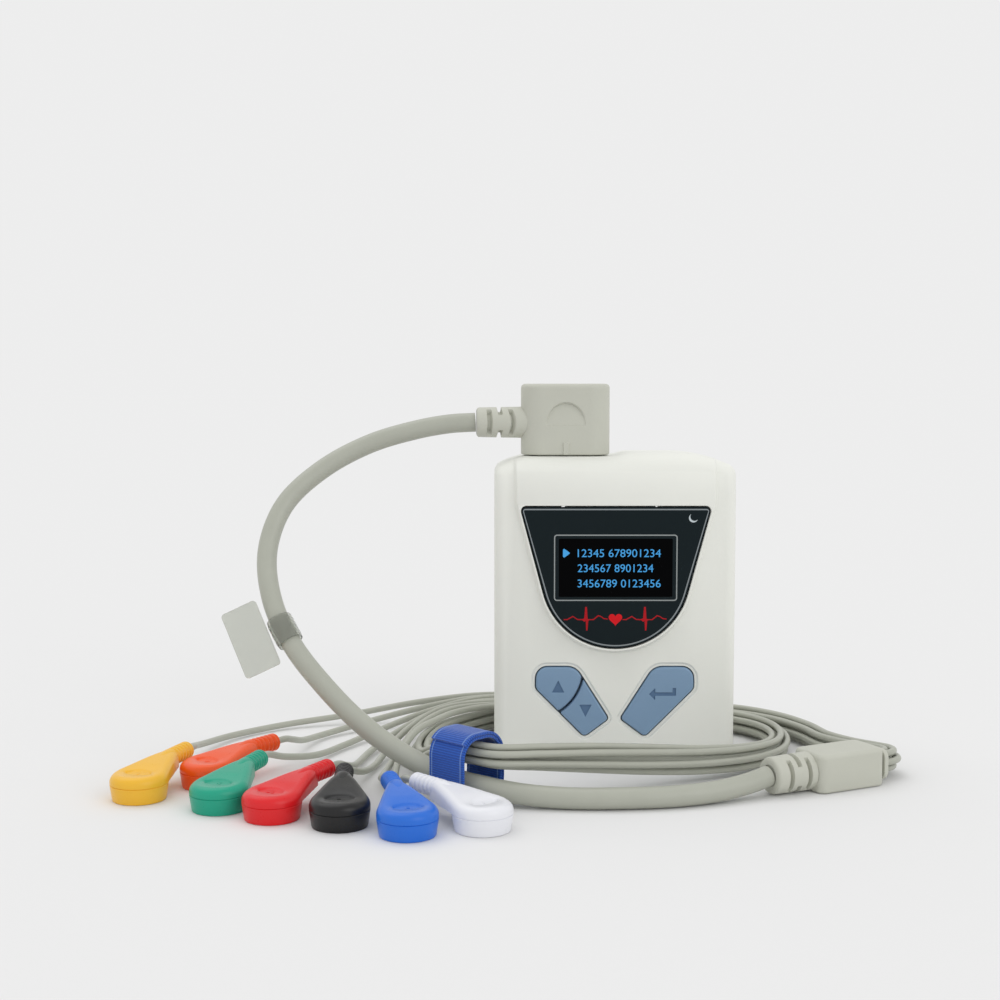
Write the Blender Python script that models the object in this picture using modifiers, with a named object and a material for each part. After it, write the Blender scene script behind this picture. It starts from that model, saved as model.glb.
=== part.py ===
# Holter monitor: a pocket heart recorder with its cable plug, trunk cord, yoke, seven leads
# and seven snap heads, laid out as they lie on a table. Metres, Z up, front of the recorder
# towards -Y. The origin is at the middle of the recorder's base.
import math

import bmesh
import bpy
import numpy as np
from mathutils import Matrix, Vector

# Gaps and overruns
GAP = 0.0003
OVERRUN = 0.002
WELD = 0.000002
OUTLINE_STEPS = 4
SMOOTH_STEPS = 12

# Recorder case
CASE_WIDTH = 0.0626
CASE_HEIGHT = 0.079
CASE_FRONT = 0.0106
CASE_BACK = 0.012
CASE_WALL = 0.0018
CASE_EDGE = 0.0030
CAVITY_EDGE = 0.0012
CASE_CORNER = 0.0038
CASE_FOOT_CORNER = 0.0030
CROWN_FLAT = 0.0300
CROWN_RADIUS = 0.0390
CROWN_STEPS = 4
SEAM_Y = 0.0010
SEAL_THICK = 0.0007
SEAL_DEPTH = 0.0030

# Raised bezel on the front and its roll over the top
BEZEL_FRONT = 0.0120
BEZEL_MARGIN = 0.0013
BEZEL_TOP_WIDTH = 0.0532
BEZEL_EDGE = 0.0008
ROLL_HEIGHT = 0.0110
ROLL_DEPTH = 0.00625
ROLL_STEPS = 6

# Window, display and status light
WINDOW_TOP_WIDTH = 0.0497
WINDOW_TOP_SHARE = 0.83164557
WINDOW_ARC_SHARE = 0.60632911
WINDOW_TOP_Z = CASE_HEIGHT * WINDOW_TOP_SHARE
WINDOW_ARC_Z = CASE_HEIGHT * WINDOW_ARC_SHARE
WINDOW_ARC_RADIUS = 0.0194
WINDOW_CORNER = 0.0012
WINDOW_THICK = 0.0008
WINDOW_ARC_STEPS = 11
SCREEN_WIDTH = 0.0318
SCREEN_HEIGHT = 0.0172
SCREEN_SHARE = 0.62911392
SCREEN_Z = CASE_HEIGHT * SCREEN_SHARE
SCREEN_GLASS = 0.0018
SCREEN_BOARD_MARGIN = 0.0014
SCREEN_BOARD_THICK = 0.0012
LIGHT_X = 0.0200
LIGHT_DROP = 0.0031
LIGHT_Z = WINDOW_TOP_Z - LIGHT_DROP
LIGHT_RADIUS = 0.0011
LIGHT_FLANGE = 0.0007
LIGHT_FLANGE_THICK = 0.0006

# Keys: the left pad's corners; the right pad mirrors it
PAD_X = [-0.0204, -0.0102, -0.0016, -0.0079, -0.0205]
PAD_ROUNDS = [0.0030, 0.0040, 0.0007, 0.0011, 0.0018]
PAD_Z_SHARES = [0.29873418, 0.29873418, 0.12658228, 0.06708861, 0.22784810]
PAD_CORNERS = [(x, CASE_HEIGHT * share, radius) for x, share, radius in zip(PAD_X, PAD_Z_SHARES, PAD_ROUNDS)]
KEY_PROUD = 0.0005
KEY_EDGE = 0.0004
KEY_TRAVEL = 0.0005
KEY_FLANGE = 0.0008
KEY_FLANGE_THICK = 0.0005
KEY_DISH = 0.0013
KEY_DISH_DEPTH = 0.0004
SPLIT_X = -0.0214
SPLIT_Z_SHARE = 0.29240506
SPLIT_Z = CASE_HEIGHT * SPLIT_Z_SHARE
SPLIT_RADIUS = 0.0132
SPLIT_STEPS = 56
MARK_SIZE = 0.0032
MARK_DEPTH = 0.0003
MARK_UP_X = -0.0147
MARK_UP_SHARE = 0.23544304
MARK_UP_Z = CASE_HEIGHT * MARK_UP_SHARE
MARK_DOWN_X = -0.0076
MARK_DOWN_SHARE = 0.15443038
MARK_DOWN_Z = CASE_HEIGHT * MARK_DOWN_SHARE
MARK_ENTER_X = 0.0124
MARK_ENTER_SHARE = 0.21012658
MARK_ENTER_Z = CASE_HEIGHT * MARK_ENTER_SHARE
MARK_ENTER_WIDTH = 0.0070
MARK_ENTER_STEM = 0.0009
MAT_WIDTH = 0.0440
MAT_HEIGHT_SHARE = 0.28607595
MAT_HEIGHT = CASE_HEIGHT * MAT_HEIGHT_SHARE
MAT_SHARE = 0.18481013
MAT_Z = CASE_HEIGHT * MAT_SHARE
MAT_THICK = 0.0010
MAT_CORNER = 0.0020

# Boards, chips, switches and buzzer
BOARD_WIDTH = 0.0452
BOARD_LOW_Z = 0.0036
BOARD_TOP_SPACE = 0.0150
BOARD_HIGH_Z = CASE_HEIGHT - BOARD_TOP_SPACE
BOARD_THICK = 0.0012
BOARD_FRONT = -0.0044
BOARD_CORNER = 0.0010
DOME_RADIUS = 0.0022
DOME_STEPS = 12
DOME_CROWN_SHARE = 0.7
SHEET_THICK = 0.0003
CHIP_THICK = 0.0010
PROCESSOR = (-0.0100, 0.0340, 0.0090, 0.0090)
CHIPS = [
    (0.0020, 0.0340, 0.0070, 0.0060),
    (0.0130, 0.0345, 0.0055, 0.0080),
]
BUZZER_RADIUS = 0.0035
BUZZER_THICK = 0.0013
BUZZER_X = 0.0180
BUZZER_Z = 0.0080
CARD_X = -0.0175
CARD_Z = 0.0270
CARD_WIDTH = 0.0080
CARD_LENGTH = 0.0130
CARD_THICK = 0.0007
CARD_SLOT_WALL = 0.0005
POST_RADIUS = 0.0024
POST_X = 0.0255
POST_LOW_Z = 0.0080
POST_TOP_SPACE = 0.0200
POST_HIGH_Z = CASE_HEIGHT - POST_TOP_SPACE
SCREW_RADIUS = 0.0009
SCREW_HEAD_RADIUS = 0.0018
SCREW_HEAD_THICK = 0.0012
SCREW_SINK = 0.0005
SCREW_LENGTH = 0.0155
POST_STEPS = 10

# Batteries, tray and door
CELL_RADIUS = 0.00525
CELL_TIP_RADIUS = 0.0019
CELL_TIP = 0.0010
CELL_STEPS = 16
TRAY_WALL = 0.0008
TRAY_LOW_Z = 0.0124
TRAY_TOP_SPACE = 0.0148
TRAY_HIGH_Z = CASE_HEIGHT - TRAY_TOP_SPACE
SPRING_SPACE = 0.0057
CELL_LENGTH = TRAY_HIGH_Z - TRAY_LOW_Z - 2 * TRAY_WALL - SPRING_SPACE
TRAY_CELL_GAP = 0.0003
TRAY_LIP = 0.0003
SPRING_RADIUS = 0.0030
SPRING_WIRE = 0.0003
SPRING_TURNS = 3
SPRING_POINTS = 8
CONTACT_THICK = 0.0004
DOOR_LOW_Z = TRAY_LOW_Z
DOOR_HIGH_Z = TRAY_HIGH_Z
DOOR_FREE_X = 0.0126
DOOR_THICK = 0.0016
DOOR_CORNER = 0.0015
GRIP_COUNT = 3
GRIP_LENGTH = 0.0120
GRIP_WIDTH = 0.0012
GRIP_PITCH = 0.0024
GRIP_DROP = 0.0060
GRIP_DEPTH = 0.0004
HINGE_X = -0.0146
HINGE_Y = 0.0105
KNUCKLE_RADIUS = 0.0015
KNUCKLE_LENGTH = 0.0070
PIN_RADIUS = 0.0005
HINGE_STEPS = 16

# Cable socket, plug and its strain relief
SOCKET_WIDTH = 0.0200
SOCKET_DEPTH = 0.0090
SOCKET_TRAY_SPACE = 0.0020
SOCKET_LOW_Z = TRAY_HIGH_Z + SOCKET_TRAY_SPACE
SOCKET_TOP_GAP = 0.0003
SOCKET_FLOOR = 0.0014
SEAT_DROP = 0.0009
SEAT_Z = CASE_HEIGHT - SEAT_DROP
SEAT_MARGIN = 0.0004
BLADE_WIDTH = 0.0110
BLADE_THICK = 0.0010
BLADE_HEIGHT = 0.0056
HOOD_X = -0.01265
HOOD_WIDTH = 0.0233
HOOD_DEPTH = 0.0115
HOOD_HEIGHT = 0.0185
HOOD_EDGE = 0.0009
HOOD_HOLLOW_HEIGHT = 0.0110
HOOD_WALL = 0.0022
THUMB_WIDTH = 0.0104
THUMB_HEIGHT = 0.0062
THUMB_DEPTH = 0.0008
THUMB_LOW = 0.0076
INDEX_WIDTH = 0.0016
INDEX_HEIGHT = 0.0036
INDEX_PROUD = 0.0005
INSERT_WIDTH = 0.0150
INSERT_DEPTH = 0.0056
INSERT_REACH = 0.0075
INSERT_HEIGHT = 0.0180
SLOT_GAP = 0.0004
BOOT_RISE = 0.0087
BOOT_Z = SEAT_Z + BOOT_RISE
BOOT_TIP_X = -0.0360
BOOT_ROOT_X = -0.0218
BOOT_RADIUS = 0.0041
BOOT_GROOVE = 0.0008
BOOT_RINGS = 3
BOOT_RING_SHARE = 0.64
BOOT_STEPS = 14

# Trunk cord: Catmull-Rom points of its centre line, from the plug to the yoke
TRUNK_DIAMETER = 0.0050
TRUNK_ROUTE = [
    (-0.0363, 0.0000, 0.0868), (-0.0430, -0.0004, 0.0864), (-0.0520, -0.0013, 0.0848),
    (-0.0640, -0.0031, 0.0812), (-0.0760, -0.0070, 0.0747), (-0.0850, -0.0125, 0.0660),
    (-0.0885, -0.0190, 0.0550), (-0.0865, -0.0260, 0.0435), (-0.0805, -0.0325, 0.0330),
    (-0.0720, -0.0380, 0.0238), (-0.0635, -0.0425, 0.0164), (-0.0555, -0.0455, 0.0110),
    (-0.0480, -0.0485, 0.0074), (-0.0410, -0.0522, 0.0052), (-0.0340, -0.0562, 0.0044),
    (-0.0250, -0.0586, 0.0032), (-0.0140, -0.0600, 0.0026), (-0.0010, -0.0600, 0.0026),
    (0.0110, -0.0582, 0.0026), (0.0210, -0.0549, 0.0029), (0.0285, -0.0512, 0.0037),
    (0.0336, -0.0484, 0.0047),
]
TRUNK_LINK = 0.0062
TRUNK_TURN = 16.0

# Label on the trunk
SLEEVE_START_SHARE = 0.385
SLEEVE_END_SHARE = 0.425
SLEEVE_RADIUS = 0.0033
SLEEVE_GAP = 0.0003
FLAG_CENTRE = (-0.0913, -0.0300, 0.0342)
FLAG_LENGTH = 0.0174
FLAG_WIDTH = 0.0094
FLAG_THICK = 0.0010
FLAG_CORNER = 0.0009
FLAG_AXIS = (0.41, -0.30, -0.87)

# Yoke
YOKE_FOOT = (0.0339, -0.0482, 0.0047)
YOKE_HEADING = 27.0
YOKE_BOOT_LENGTH = 0.0110
YOKE_BOOT_RADIUS = 0.0046
YOKE_LENGTH = 0.0195
YOKE_DEPTH = 0.0116
YOKE_HEIGHT = 0.0092
YOKE_EDGE = 0.0010
YOKE_CORNER = 0.0022
YOKE_LOW_Z = 0.0001
COMB_THICK = 0.0014
COMB_INSET = 0.0008

# Leads: seven strands in a round bundle, one in the middle and six about it
LEAD_DIAMETER = 0.0017
LEAD_LINK = 0.0125
LEAD_TURN = 20.0
# Bundle centre line: x, y, z, then how far the six strands stand from the middle, and their
# twist in degrees
BUNDLE_ROUTE = [
    (0.06330, -0.03320, 0.0046, 0.00215, 0),
    (0.06520, -0.03215, 0.0046, 0.00215, 0),
    (0.06680, -0.02970, 0.0045, 0.00215, 0),
    (0.06690, -0.02620, 0.0042, 0.00215, 0),
    (0.06510, -0.02230, 0.0038, 0.00215, 0),
    (0.06050, -0.01640, 0.0034, 0.00220, 5),
    (0.05560, -0.00880, 0.0033, 0.00225, 10),
    (0.05270, 0.00200, 0.0033, 0.00230, 15),
    (0.04700, 0.01350, 0.0033, 0.00230, 20),
    (0.03800, 0.02250, 0.0033, 0.00230, 25),
    (0.02600, 0.02780, 0.0033, 0.00225, 30),
    (0.01000, 0.03000, 0.0032, 0.00220, 35),
    (-0.00800, 0.02950, 0.0032, 0.00215, 40),
    (-0.02400, 0.02500, 0.0032, 0.00215, 45),
    (-0.03650, 0.01600, 0.0032, 0.00215, 50),
    (-0.04500, 0.00400, 0.0032, 0.00215, 55),
    (-0.04900, -0.01000, 0.0032, 0.00220, 60),
    (-0.04950, -0.02300, 0.0036, 0.00220, 65),
    (-0.04770, -0.03400, 0.0052, 0.00220, 70),
    (-0.04370, -0.04330, 0.0090, 0.00215, 75),
    (-0.03800, -0.05120, 0.0114, 0.00215, 80),
    (-0.03060, -0.05580, 0.0113, 0.00215, 85),
    (-0.02050, -0.05200, 0.0102, 0.00240, 90),
    (-0.00800, -0.04640, 0.0086, 0.00275, 98),
    (0.00600, -0.04060, 0.0068, 0.00290, 106),
    (0.01900, -0.03500, 0.0053, 0.00280, 114),
    (0.03100, -0.02800, 0.0043, 0.00260, 122),
    (0.03980, -0.01820, 0.0037, 0.00240, 130),
    (0.04350, -0.00600, 0.0034, 0.00230, 138),
    (0.04230, 0.00550, 0.0033, 0.00225, 144),
    (0.03630, 0.01480, 0.0033, 0.00225, 150),
    (0.02600, 0.02000, 0.0034, 0.00225, 150),
    (0.01250, 0.02140, 0.0034, 0.00225, 150),
    (-0.00050, 0.02120, 0.0046, 0.00225, 150),
]
# Each head: name, colour, disc centre x, y and the heading of its tail in degrees; the place
# in the bundle (0 is the middle), and the lead's own points from the bundle to the tail
HEADS = [
    ("yellow", (0.83, 0.47, 0.03), -0.1145, -0.0512, 72.5, 1, [
        (-0.0090, 0.0262, 0.0071), (-0.0190, 0.0278, 0.0080), (-0.0355, 0.0290, 0.0080),
        (-0.0530, 0.0300, 0.0058), (-0.0730, 0.0275, 0.0026), (-0.0900, 0.0205, 0.0014),
        (-0.1025, 0.0075, 0.0014), (-0.1080, -0.0075, 0.0026), (-0.1082, -0.0200, 0.0050)]),
    ("orange", (0.87, 0.08, 0.005), -0.1005, -0.0393, 53.8, 6, [
        (-0.0090, 0.0246, 0.0049), (-0.0190, 0.0255, 0.0076), (-0.0356, 0.0263, 0.0078),
        (-0.0520, 0.0250, 0.0052), (-0.0680, 0.0190, 0.0022), (-0.0780, 0.0085, 0.0014),
        (-0.0820, -0.0030, 0.0026), (-0.0835, -0.0125, 0.0050)]),
    ("green", (0.01, 0.38, 0.24), -0.0942, -0.0598, 74.3, 2, [
        (-0.0090, 0.0227, 0.0084), (-0.0190, 0.0232, 0.0084), (-0.0356, 0.0236, 0.0081),
        (-0.0505, 0.0193, 0.0052), (-0.0630, 0.0100, 0.0022), (-0.0710, -0.0030, 0.0013),
        (-0.0770, -0.0160, 0.0018), (-0.0835, -0.0275, 0.0042)]),
    ("red", (0.75, 0.01, 0.015), -0.0810, -0.0672, 62.6, 0, [
        (-0.0090, 0.0211, 0.0066), (-0.0190, 0.0210, 0.0078), (-0.0354, 0.0208, 0.0078),
        (-0.0488, 0.0146, 0.0058), (-0.0590, 0.0030, 0.0024), (-0.0640, -0.0120, 0.0013),
        (-0.0660, -0.0260, 0.0018), (-0.0672, -0.0370, 0.0044)]),
    ("black", (0.012, 0.012, 0.012), -0.0652, -0.0730, 92.9, 5, [
        (-0.0090, 0.0194, 0.0049), (-0.0190, 0.0186, 0.0076), (-0.0348, 0.0181, 0.0081),
        (-0.0464, 0.0100, 0.0079), (-0.0545, -0.0010, 0.0050), (-0.0592, -0.0130, 0.0021),
        (-0.0614, -0.0250, 0.0013), (-0.0634, -0.0350, 0.0024), (-0.0657, -0.0435, 0.0050)]),
    ("blue", (0.015, 0.15, 0.68), -0.0498, -0.0800, 103.9, 3, [
        (-0.0090, 0.0178, 0.0076), (-0.0190, 0.0163, 0.0080), (-0.0338, 0.0155, 0.0080),
        (-0.0444, 0.0064, 0.0084), (-0.0517, -0.0060, 0.0066), (-0.0558, -0.0180, 0.0030),
        (-0.0580, -0.0300, 0.0014), (-0.0584, -0.0410, 0.0024), (-0.0572, -0.0505, 0.0050)]),
    ("white", (0.80, 0.80, 0.84), -0.0336, -0.0761, 133.2, 4, [
        (-0.0090, 0.0163, 0.0055), (-0.0190, 0.0140, 0.0077), (-0.0325, 0.0131, 0.0081),
        (-0.0414, 0.0040, 0.0086), (-0.0468, -0.0070, 0.0088), (-0.0515, -0.0170, 0.0080),
        (-0.0548, -0.0270, 0.0044), (-0.0553, -0.0380, 0.0018), (-0.0542, -0.0475, 0.0028),
        (-0.0523, -0.0542, 0.0050)]),
]
HEAD_RADIUS = 0.0068
HEAD_HEIGHT = 0.0064
HEAD_EDGE = 0.0016
HEAD_STEPS = 18
HEAD_POCKET_RADIUS = 0.0050
HEAD_POCKET_DEPTH = 0.0031
TAIL_LENGTH = 0.0230
TAIL_RADIUS = 0.0022
TAIL_GROOVE = 0.0004
TAIL_Z = 0.0064
TAIL_ROOT_Z = 0.0046
TAIL_ROOT_RADIUS = 0.0018
TAIL_NECK_SHARE = 0.62
TAIL_RINGS = 2
TAPER_LOW_Z = 0.0036
TAPER_TIP_RADIUS = 0.0018
TAPER_TIP_SHARE = 0.66
TAPER_DROP = 0.0001
SNAP_RADIUS = 0.0046
SNAP_BORE = 0.0020
SNAP_LOW_Z = 0.0004
SNAP_HIGH_Z = 0.0027
SNAP_NECK_RADIUS = 0.0040
SNAP_STEPS = 12

# Strap: a rounded ring of hook-and-loop tape
STRAP_CENTRE = (-0.0378, -0.0528, 0.0086)
STRAP_HEADING = -44.0
STRAP_WIDTH = 0.0112
STRAP_SPAN = 0.0146
STRAP_HEIGHT = 0.0170
STRAP_THICK = 0.0015
STRAP_ROUND = 0.0058
STRAP_STEPS = 5

PARTS = None
CUTTERS = None


# Scene and small helpers
def start():
    """Empty the scene and make the collections for the parts and their cutters."""
    global PARTS, CUTTERS
    for obj in list(bpy.data.objects):
        bpy.data.objects.remove(obj, do_unlink=True)
    PARTS = bpy.data.collections.new("holter_monitor")
    CUTTERS = bpy.data.collections.new("cutters")
    for collection in (PARTS, CUTTERS):
        bpy.context.scene.collection.children.link(collection)


def finish_material(name, colour, roughness, metallic=0.0):
    """A Principled material with one colour, roughness and metallic value."""
    material = bpy.data.materials.get(name)
    if material is None:
        material = bpy.data.materials.new(name)
        material.use_nodes = True
        shader = material.node_tree.nodes["Principled BSDF"]
        shader.inputs["Base Color"].default_value = (*colour, 1.0)
        shader.inputs["Roughness"].default_value = roughness
        shader.inputs["Metallic"].default_value = metallic
        material.diffuse_color = (*colour, 1.0)
    return material


FINISHES = {
    "case_white": ((0.75, 0.76, 0.72), 0.42, 0.0),
    "window_dark": ((0.016, 0.024, 0.026), 0.08, 0.0),
    "screen": ((0.004, 0.004, 0.005), 0.15, 0.0),
    "key_blue": ((0.20, 0.31, 0.44), 0.40, 0.0),
    "cable_grey": ((0.50, 0.51, 0.45), 0.50, 0.0),
    "cord_grey": ((0.38, 0.39, 0.34), 0.45, 0.0),
    "clear_film": ((0.62, 0.63, 0.63), 0.10, 0.0),
    "strap_blue": ((0.012, 0.055, 0.50), 0.90, 0.0),
    "steel": ((0.62, 0.62, 0.62), 0.28, 1.0),
    "gold": ((0.83, 0.60, 0.24), 0.30, 1.0),
    "board_green": ((0.02, 0.16, 0.06), 0.50, 0.0),
    "chip_black": ((0.012, 0.012, 0.014), 0.45, 0.0),
    "silicone": ((0.32, 0.36, 0.40), 0.70, 0.0),
    "seal_rubber": ((0.05, 0.05, 0.05), 0.80, 0.0),
    "cell_label": ((0.05, 0.10, 0.22), 0.35, 0.0),
}


def dress(obj, finish):
    """Give an object its name's finish and smooth shading with sharp edges."""
    obj.data.materials.clear()
    obj.data.materials.append(finish_material(finish, *FINISHES[finish]))
    obj.data.shade_smooth()
    obj.data.set_sharp_from_angle(angle=math.radians(35))
    return obj


def link(name, mesh, collection=None):
    """Make an object from a mesh and link it."""
    obj = bpy.data.objects.new(name, mesh)
    (collection or PARTS).objects.link(obj)
    return obj


def as_cutter(obj):
    """Move an object to the cutters' collection and keep it out of the model."""
    for collection in list(obj.users_collection):
        collection.objects.unlink(obj)
    CUTTERS.objects.link(obj)
    obj.hide_render = True
    obj.display_type = "WIRE"
    return obj


def apply_all(obj):
    """Replace an object's mesh with what its modifiers make, welded."""
    graph = bpy.context.evaluated_depsgraph_get()
    mesh = bpy.data.meshes.new_from_object(obj.evaluated_get(graph))
    obj.modifiers.clear()
    obj.data = mesh
    weld(mesh)
    return obj


def weld(mesh, outward=False):
    """Merge doubled corners and, on a new simple solid, point the faces outwards."""
    bm = bmesh.new()
    bm.from_mesh(mesh)
    bmesh.ops.remove_doubles(bm, verts=bm.verts, dist=WELD)
    if outward:
        bmesh.ops.recalc_face_normals(bm, faces=bm.faces)
    bm.to_mesh(mesh)
    bm.free()


def combine(target, others, operation):
    """Boolean the others into or out of the target, one after another."""
    for other in others:
        modifier = target.modifiers.new(operation.lower(), "BOOLEAN")
        modifier.operation = operation
        modifier.object = other
        apply_all(target)
        if other.name in PARTS.objects:
            as_cutter(other)
    return target


def cut(target, *others):
    return combine(target, others, "DIFFERENCE")


def join(target, *others):
    return combine(target, others, "UNION")


def keep(target, *others):
    return combine(target, others, "INTERSECT")


def curve_mesh(name, curve_object):
    """Turn a curve object into a welded mesh object at the same place."""
    bpy.context.view_layer.update()
    graph = bpy.context.evaluated_depsgraph_get()
    mesh = bpy.data.meshes.new_from_object(curve_object.evaluated_get(graph))
    weld(mesh, outward=True)
    place = curve_object.matrix_world.copy()
    bpy.data.objects.remove(curve_object, do_unlink=True)
    obj = link(name, mesh)
    obj.matrix_world = place
    return obj


# Outlines
def rounded(corners, steps=OUTLINE_STEPS):
    """Outline through corners (u, v, radius), each turned by an arc of its radius."""
    points = []
    count = len(corners)
    for index, (u, v, radius) in enumerate(corners):
        here = Vector((u, v))
        if not radius:
            points.append(tuple(here))
            continue
        before = (Vector(corners[index - 1][:2]) - here).normalized()
        after = (Vector(corners[(index + 1) % count][:2]) - here).normalized()
        half = before.angle(after) / 2
        centre = here + (before + after).normalized() * radius / math.sin(half)
        start = here + before * radius / math.tan(half) - centre
        end = here + after * radius / math.tan(half) - centre
        sweep = start.angle_signed(end)
        for step in range(steps + 1):
            turned = start.copy()
            turned.rotate(Matrix.Rotation(-sweep * step / steps, 2))
            points.append(tuple(centre + turned))
    return points


def rectangle(width, height, radius, u=0.0, v=0.0):
    """Rounded rectangle about (u, v)."""
    a, b = width / 2, height / 2
    corners = [(u - a, v - b, radius), (u + a, v - b, radius),
               (u + a, v + b, radius), (u - a, v + b, radius)]
    return rounded(corners)


def case_outline(inset=0.0):
    """Front outline of the case: straight sides, arched shoulders and a flat crown."""
    side = CASE_WIDTH / 2 - inset
    top = CASE_HEIGHT - inset
    radius = CROWN_RADIUS - inset
    flat = CROWN_FLAT / 2
    corners = [(-side, inset, CASE_FOOT_CORNER - inset), (side, inset, CASE_FOOT_CORNER - inset)]
    span = side - flat
    shoulder = []
    for step in range(CROWN_STEPS + 1):
        across = span * (1 - step / CROWN_STEPS)
        drop = radius - math.sqrt(radius * radius - across * across)
        shoulder.append((flat + across, top - drop))
    corner = max(CASE_CORNER - inset, CAVITY_EDGE)
    corners.append((*shoulder[0], corner))
    corners += [(u, v, 0.0) for u, v in shoulder[2:]]
    corners += [(-u, v, 0.0) for u, v in reversed(shoulder[2:])]
    corners.append((-shoulder[0][0], shoulder[0][1], corner))
    return rounded(corners)


def badge_outline(grow, top_z=WINDOW_TOP_Z, top_width=WINDOW_TOP_WIDTH, corner=WINDOW_CORNER):
    """The window's shape grown by a margin: straight leaning sides that run into one arc."""
    radius = WINDOW_ARC_RADIUS + grow
    half = WINDOW_TOP_WIDTH / 2 + grow
    low = Vector((0.0, WINDOW_ARC_Z))
    shoulder = Vector((half, WINDOW_TOP_Z))
    to_corner = shoulder - low
    swing = math.acos(radius / to_corner.length)
    first = math.atan2(to_corner.y, to_corner.x) - swing
    sweep = first + math.pi / 2
    arc = []
    for step in range(WINDOW_ARC_STEPS + 1):
        angle = -math.pi / 2 - sweep + 2 * sweep * step / WINDOW_ARC_STEPS
        arc.append((radius * math.cos(angle), low.y + radius * math.sin(angle), 0.0))
    corners = list(arc)
    if top_z > WINDOW_TOP_Z:
        corners += [(half, WINDOW_TOP_Z, 0.0), (top_width / 2, top_z, 0.0),
                    (-top_width / 2, top_z, 0.0), (-half, WINDOW_TOP_Z, 0.0)]
    else:
        corners += [(half, WINDOW_TOP_Z + grow, corner), (-half, WINDOW_TOP_Z + grow, corner)]
    return rounded(corners)


def pad_outline(grow, side):
    """A key pad's outline grown by a margin; side is -1 for the left pad and 1 for the right."""
    points = rounded(PAD_CORNERS)
    middle_u = sum(u for u, _ in points) / len(points)
    middle_v = sum(v for _, v in points) / len(points)
    grown = []
    count = len(points)
    for index, (u, v) in enumerate(points):
        before = Vector(points[index - 1])
        after = Vector(points[(index + 1) % count])
        along = (after - before).normalized()
        normal = Vector((along.y, -along.x))
        outward = Vector((u - middle_u, v - middle_v))
        if normal.dot(outward) < 0:
            normal = -normal
        grown.append((u + normal.x * grow, v + normal.y * grow))
    return [(-side * u, v) for u, v in grown]


# Solids
def slab(name, outline, low, high, edge=0.0, bevel_steps=1, holes=(), frame=None):
    """Extrude an outline (x, z) from y = low to y = high, its rims rounded by edge.

    The outline is a flat curve; frame, where given, is the matrix that places it instead.
    """
    curve = bpy.data.curves.new(name, "CURVE")
    curve.dimensions = "2D"
    curve.fill_mode = "BOTH"
    for ring in (outline, *holes):
        spline = curve.splines.new("POLY")
        spline.points.add(len(ring) - 1)
        for point, (u, v) in zip(spline.points, ring):
            point.co = (u, v, 0.0, 1.0)
        spline.use_cyclic_u = True
    curve.extrude = abs(high - low) / 2 - edge
    if edge:
        curve.bevel_depth = edge
        curve.bevel_resolution = bevel_steps
        curve.offset = -edge
    obj = bpy.data.objects.new(name, curve)
    PARTS.objects.link(obj)
    if frame is None:
        frame = Matrix.Translation((0.0, (low + high) / 2, 0.0)) @ Matrix.Rotation(math.pi / 2, 4, "X")
    else:
        frame = frame @ Matrix.Translation((0.0, 0.0, (low + high) / 2))
    obj.matrix_world = frame
    made = curve_mesh(name, obj)
    made.data.transform(made.matrix_world)
    made.matrix_world = Matrix.Identity(4)
    weld(made.data, outward=True)
    return made


def tower(name, outline, low, high, edge=0.0, bevel_steps=1):
    """Extrude an outline (x, y) from z = low to z = high."""
    return slab(name, outline, low, high, edge, bevel_steps, frame=Matrix.Identity(4))


def box(name, low, high):
    """A box from its lowest to its highest corner."""
    mesh = bpy.data.meshes.new(name)
    bm = bmesh.new()
    bmesh.ops.create_cube(bm, size=1.0)
    size = Vector(high) - Vector(low)
    bmesh.ops.scale(bm, vec=size, verts=bm.verts)
    bmesh.ops.translate(bm, vec=(Vector(low) + Vector(high)) / 2, verts=bm.verts)
    bm.to_mesh(mesh)
    bm.free()
    return link(name, mesh)


def rod(name, start, end, radius, steps, end_radius=None):
    """A round bar, or a cone, from one point to another."""
    a, b = Vector(start), Vector(end)
    bm = bmesh.new()
    bmesh.ops.create_cone(
        bm, cap_ends=True, segments=steps, radius1=radius,
        radius2=radius if end_radius is None else end_radius, depth=(b - a).length)
    turn = (b - a).to_track_quat("Z", "Y").to_matrix().to_4x4()
    bmesh.ops.transform(bm, matrix=Matrix.Translation((a + b) / 2) @ turn, verts=bm.verts)
    mesh = bpy.data.meshes.new(name)
    bm.to_mesh(mesh)
    bm.free()
    return link(name, mesh)


def turned(name, profile, start, heading, steps):
    """Turn a profile of (along, radius) about the axis that leaves start along heading."""
    mesh = bpy.data.meshes.new(name)
    points = [(radius, 0.0, -along) for along, radius in profile]
    mesh.from_pydata(points, [(i, i + 1) for i in range(len(points) - 1)], [])
    obj = link(name, mesh)
    screw = obj.modifiers.new("screw", "SCREW")
    screw.axis = "Z"
    screw.steps = steps
    screw.render_steps = steps
    screw.use_merge_vertices = True
    screw.merge_threshold = WELD
    apply_all(obj)
    weld(obj.data, outward=True)
    turn = Vector(heading).to_track_quat("-Z", "Y").to_matrix().to_4x4()
    obj.data.transform(Matrix.Translation(start) @ turn)
    return obj


def tube(name, points, radius, resolution, radii=None):
    """A round tube through points, with its ends filled."""
    curve = bpy.data.curves.new(name, "CURVE")
    curve.dimensions = "3D"
    curve.bevel_depth = radius
    curve.bevel_resolution = resolution
    curve.use_fill_caps = True
    curve.twist_mode = "MINIMUM"
    spline = curve.splines.new("POLY")
    spline.points.add(len(points) - 1)
    for index, point in enumerate(points):
        spline.points[index].co = (*point, 1.0)
        if radii is not None:
            spline.points[index].radius = radii[index] / radius
    obj = bpy.data.objects.new(name, curve)
    PARTS.objects.link(obj)
    return curve_mesh(name, obj)


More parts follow.
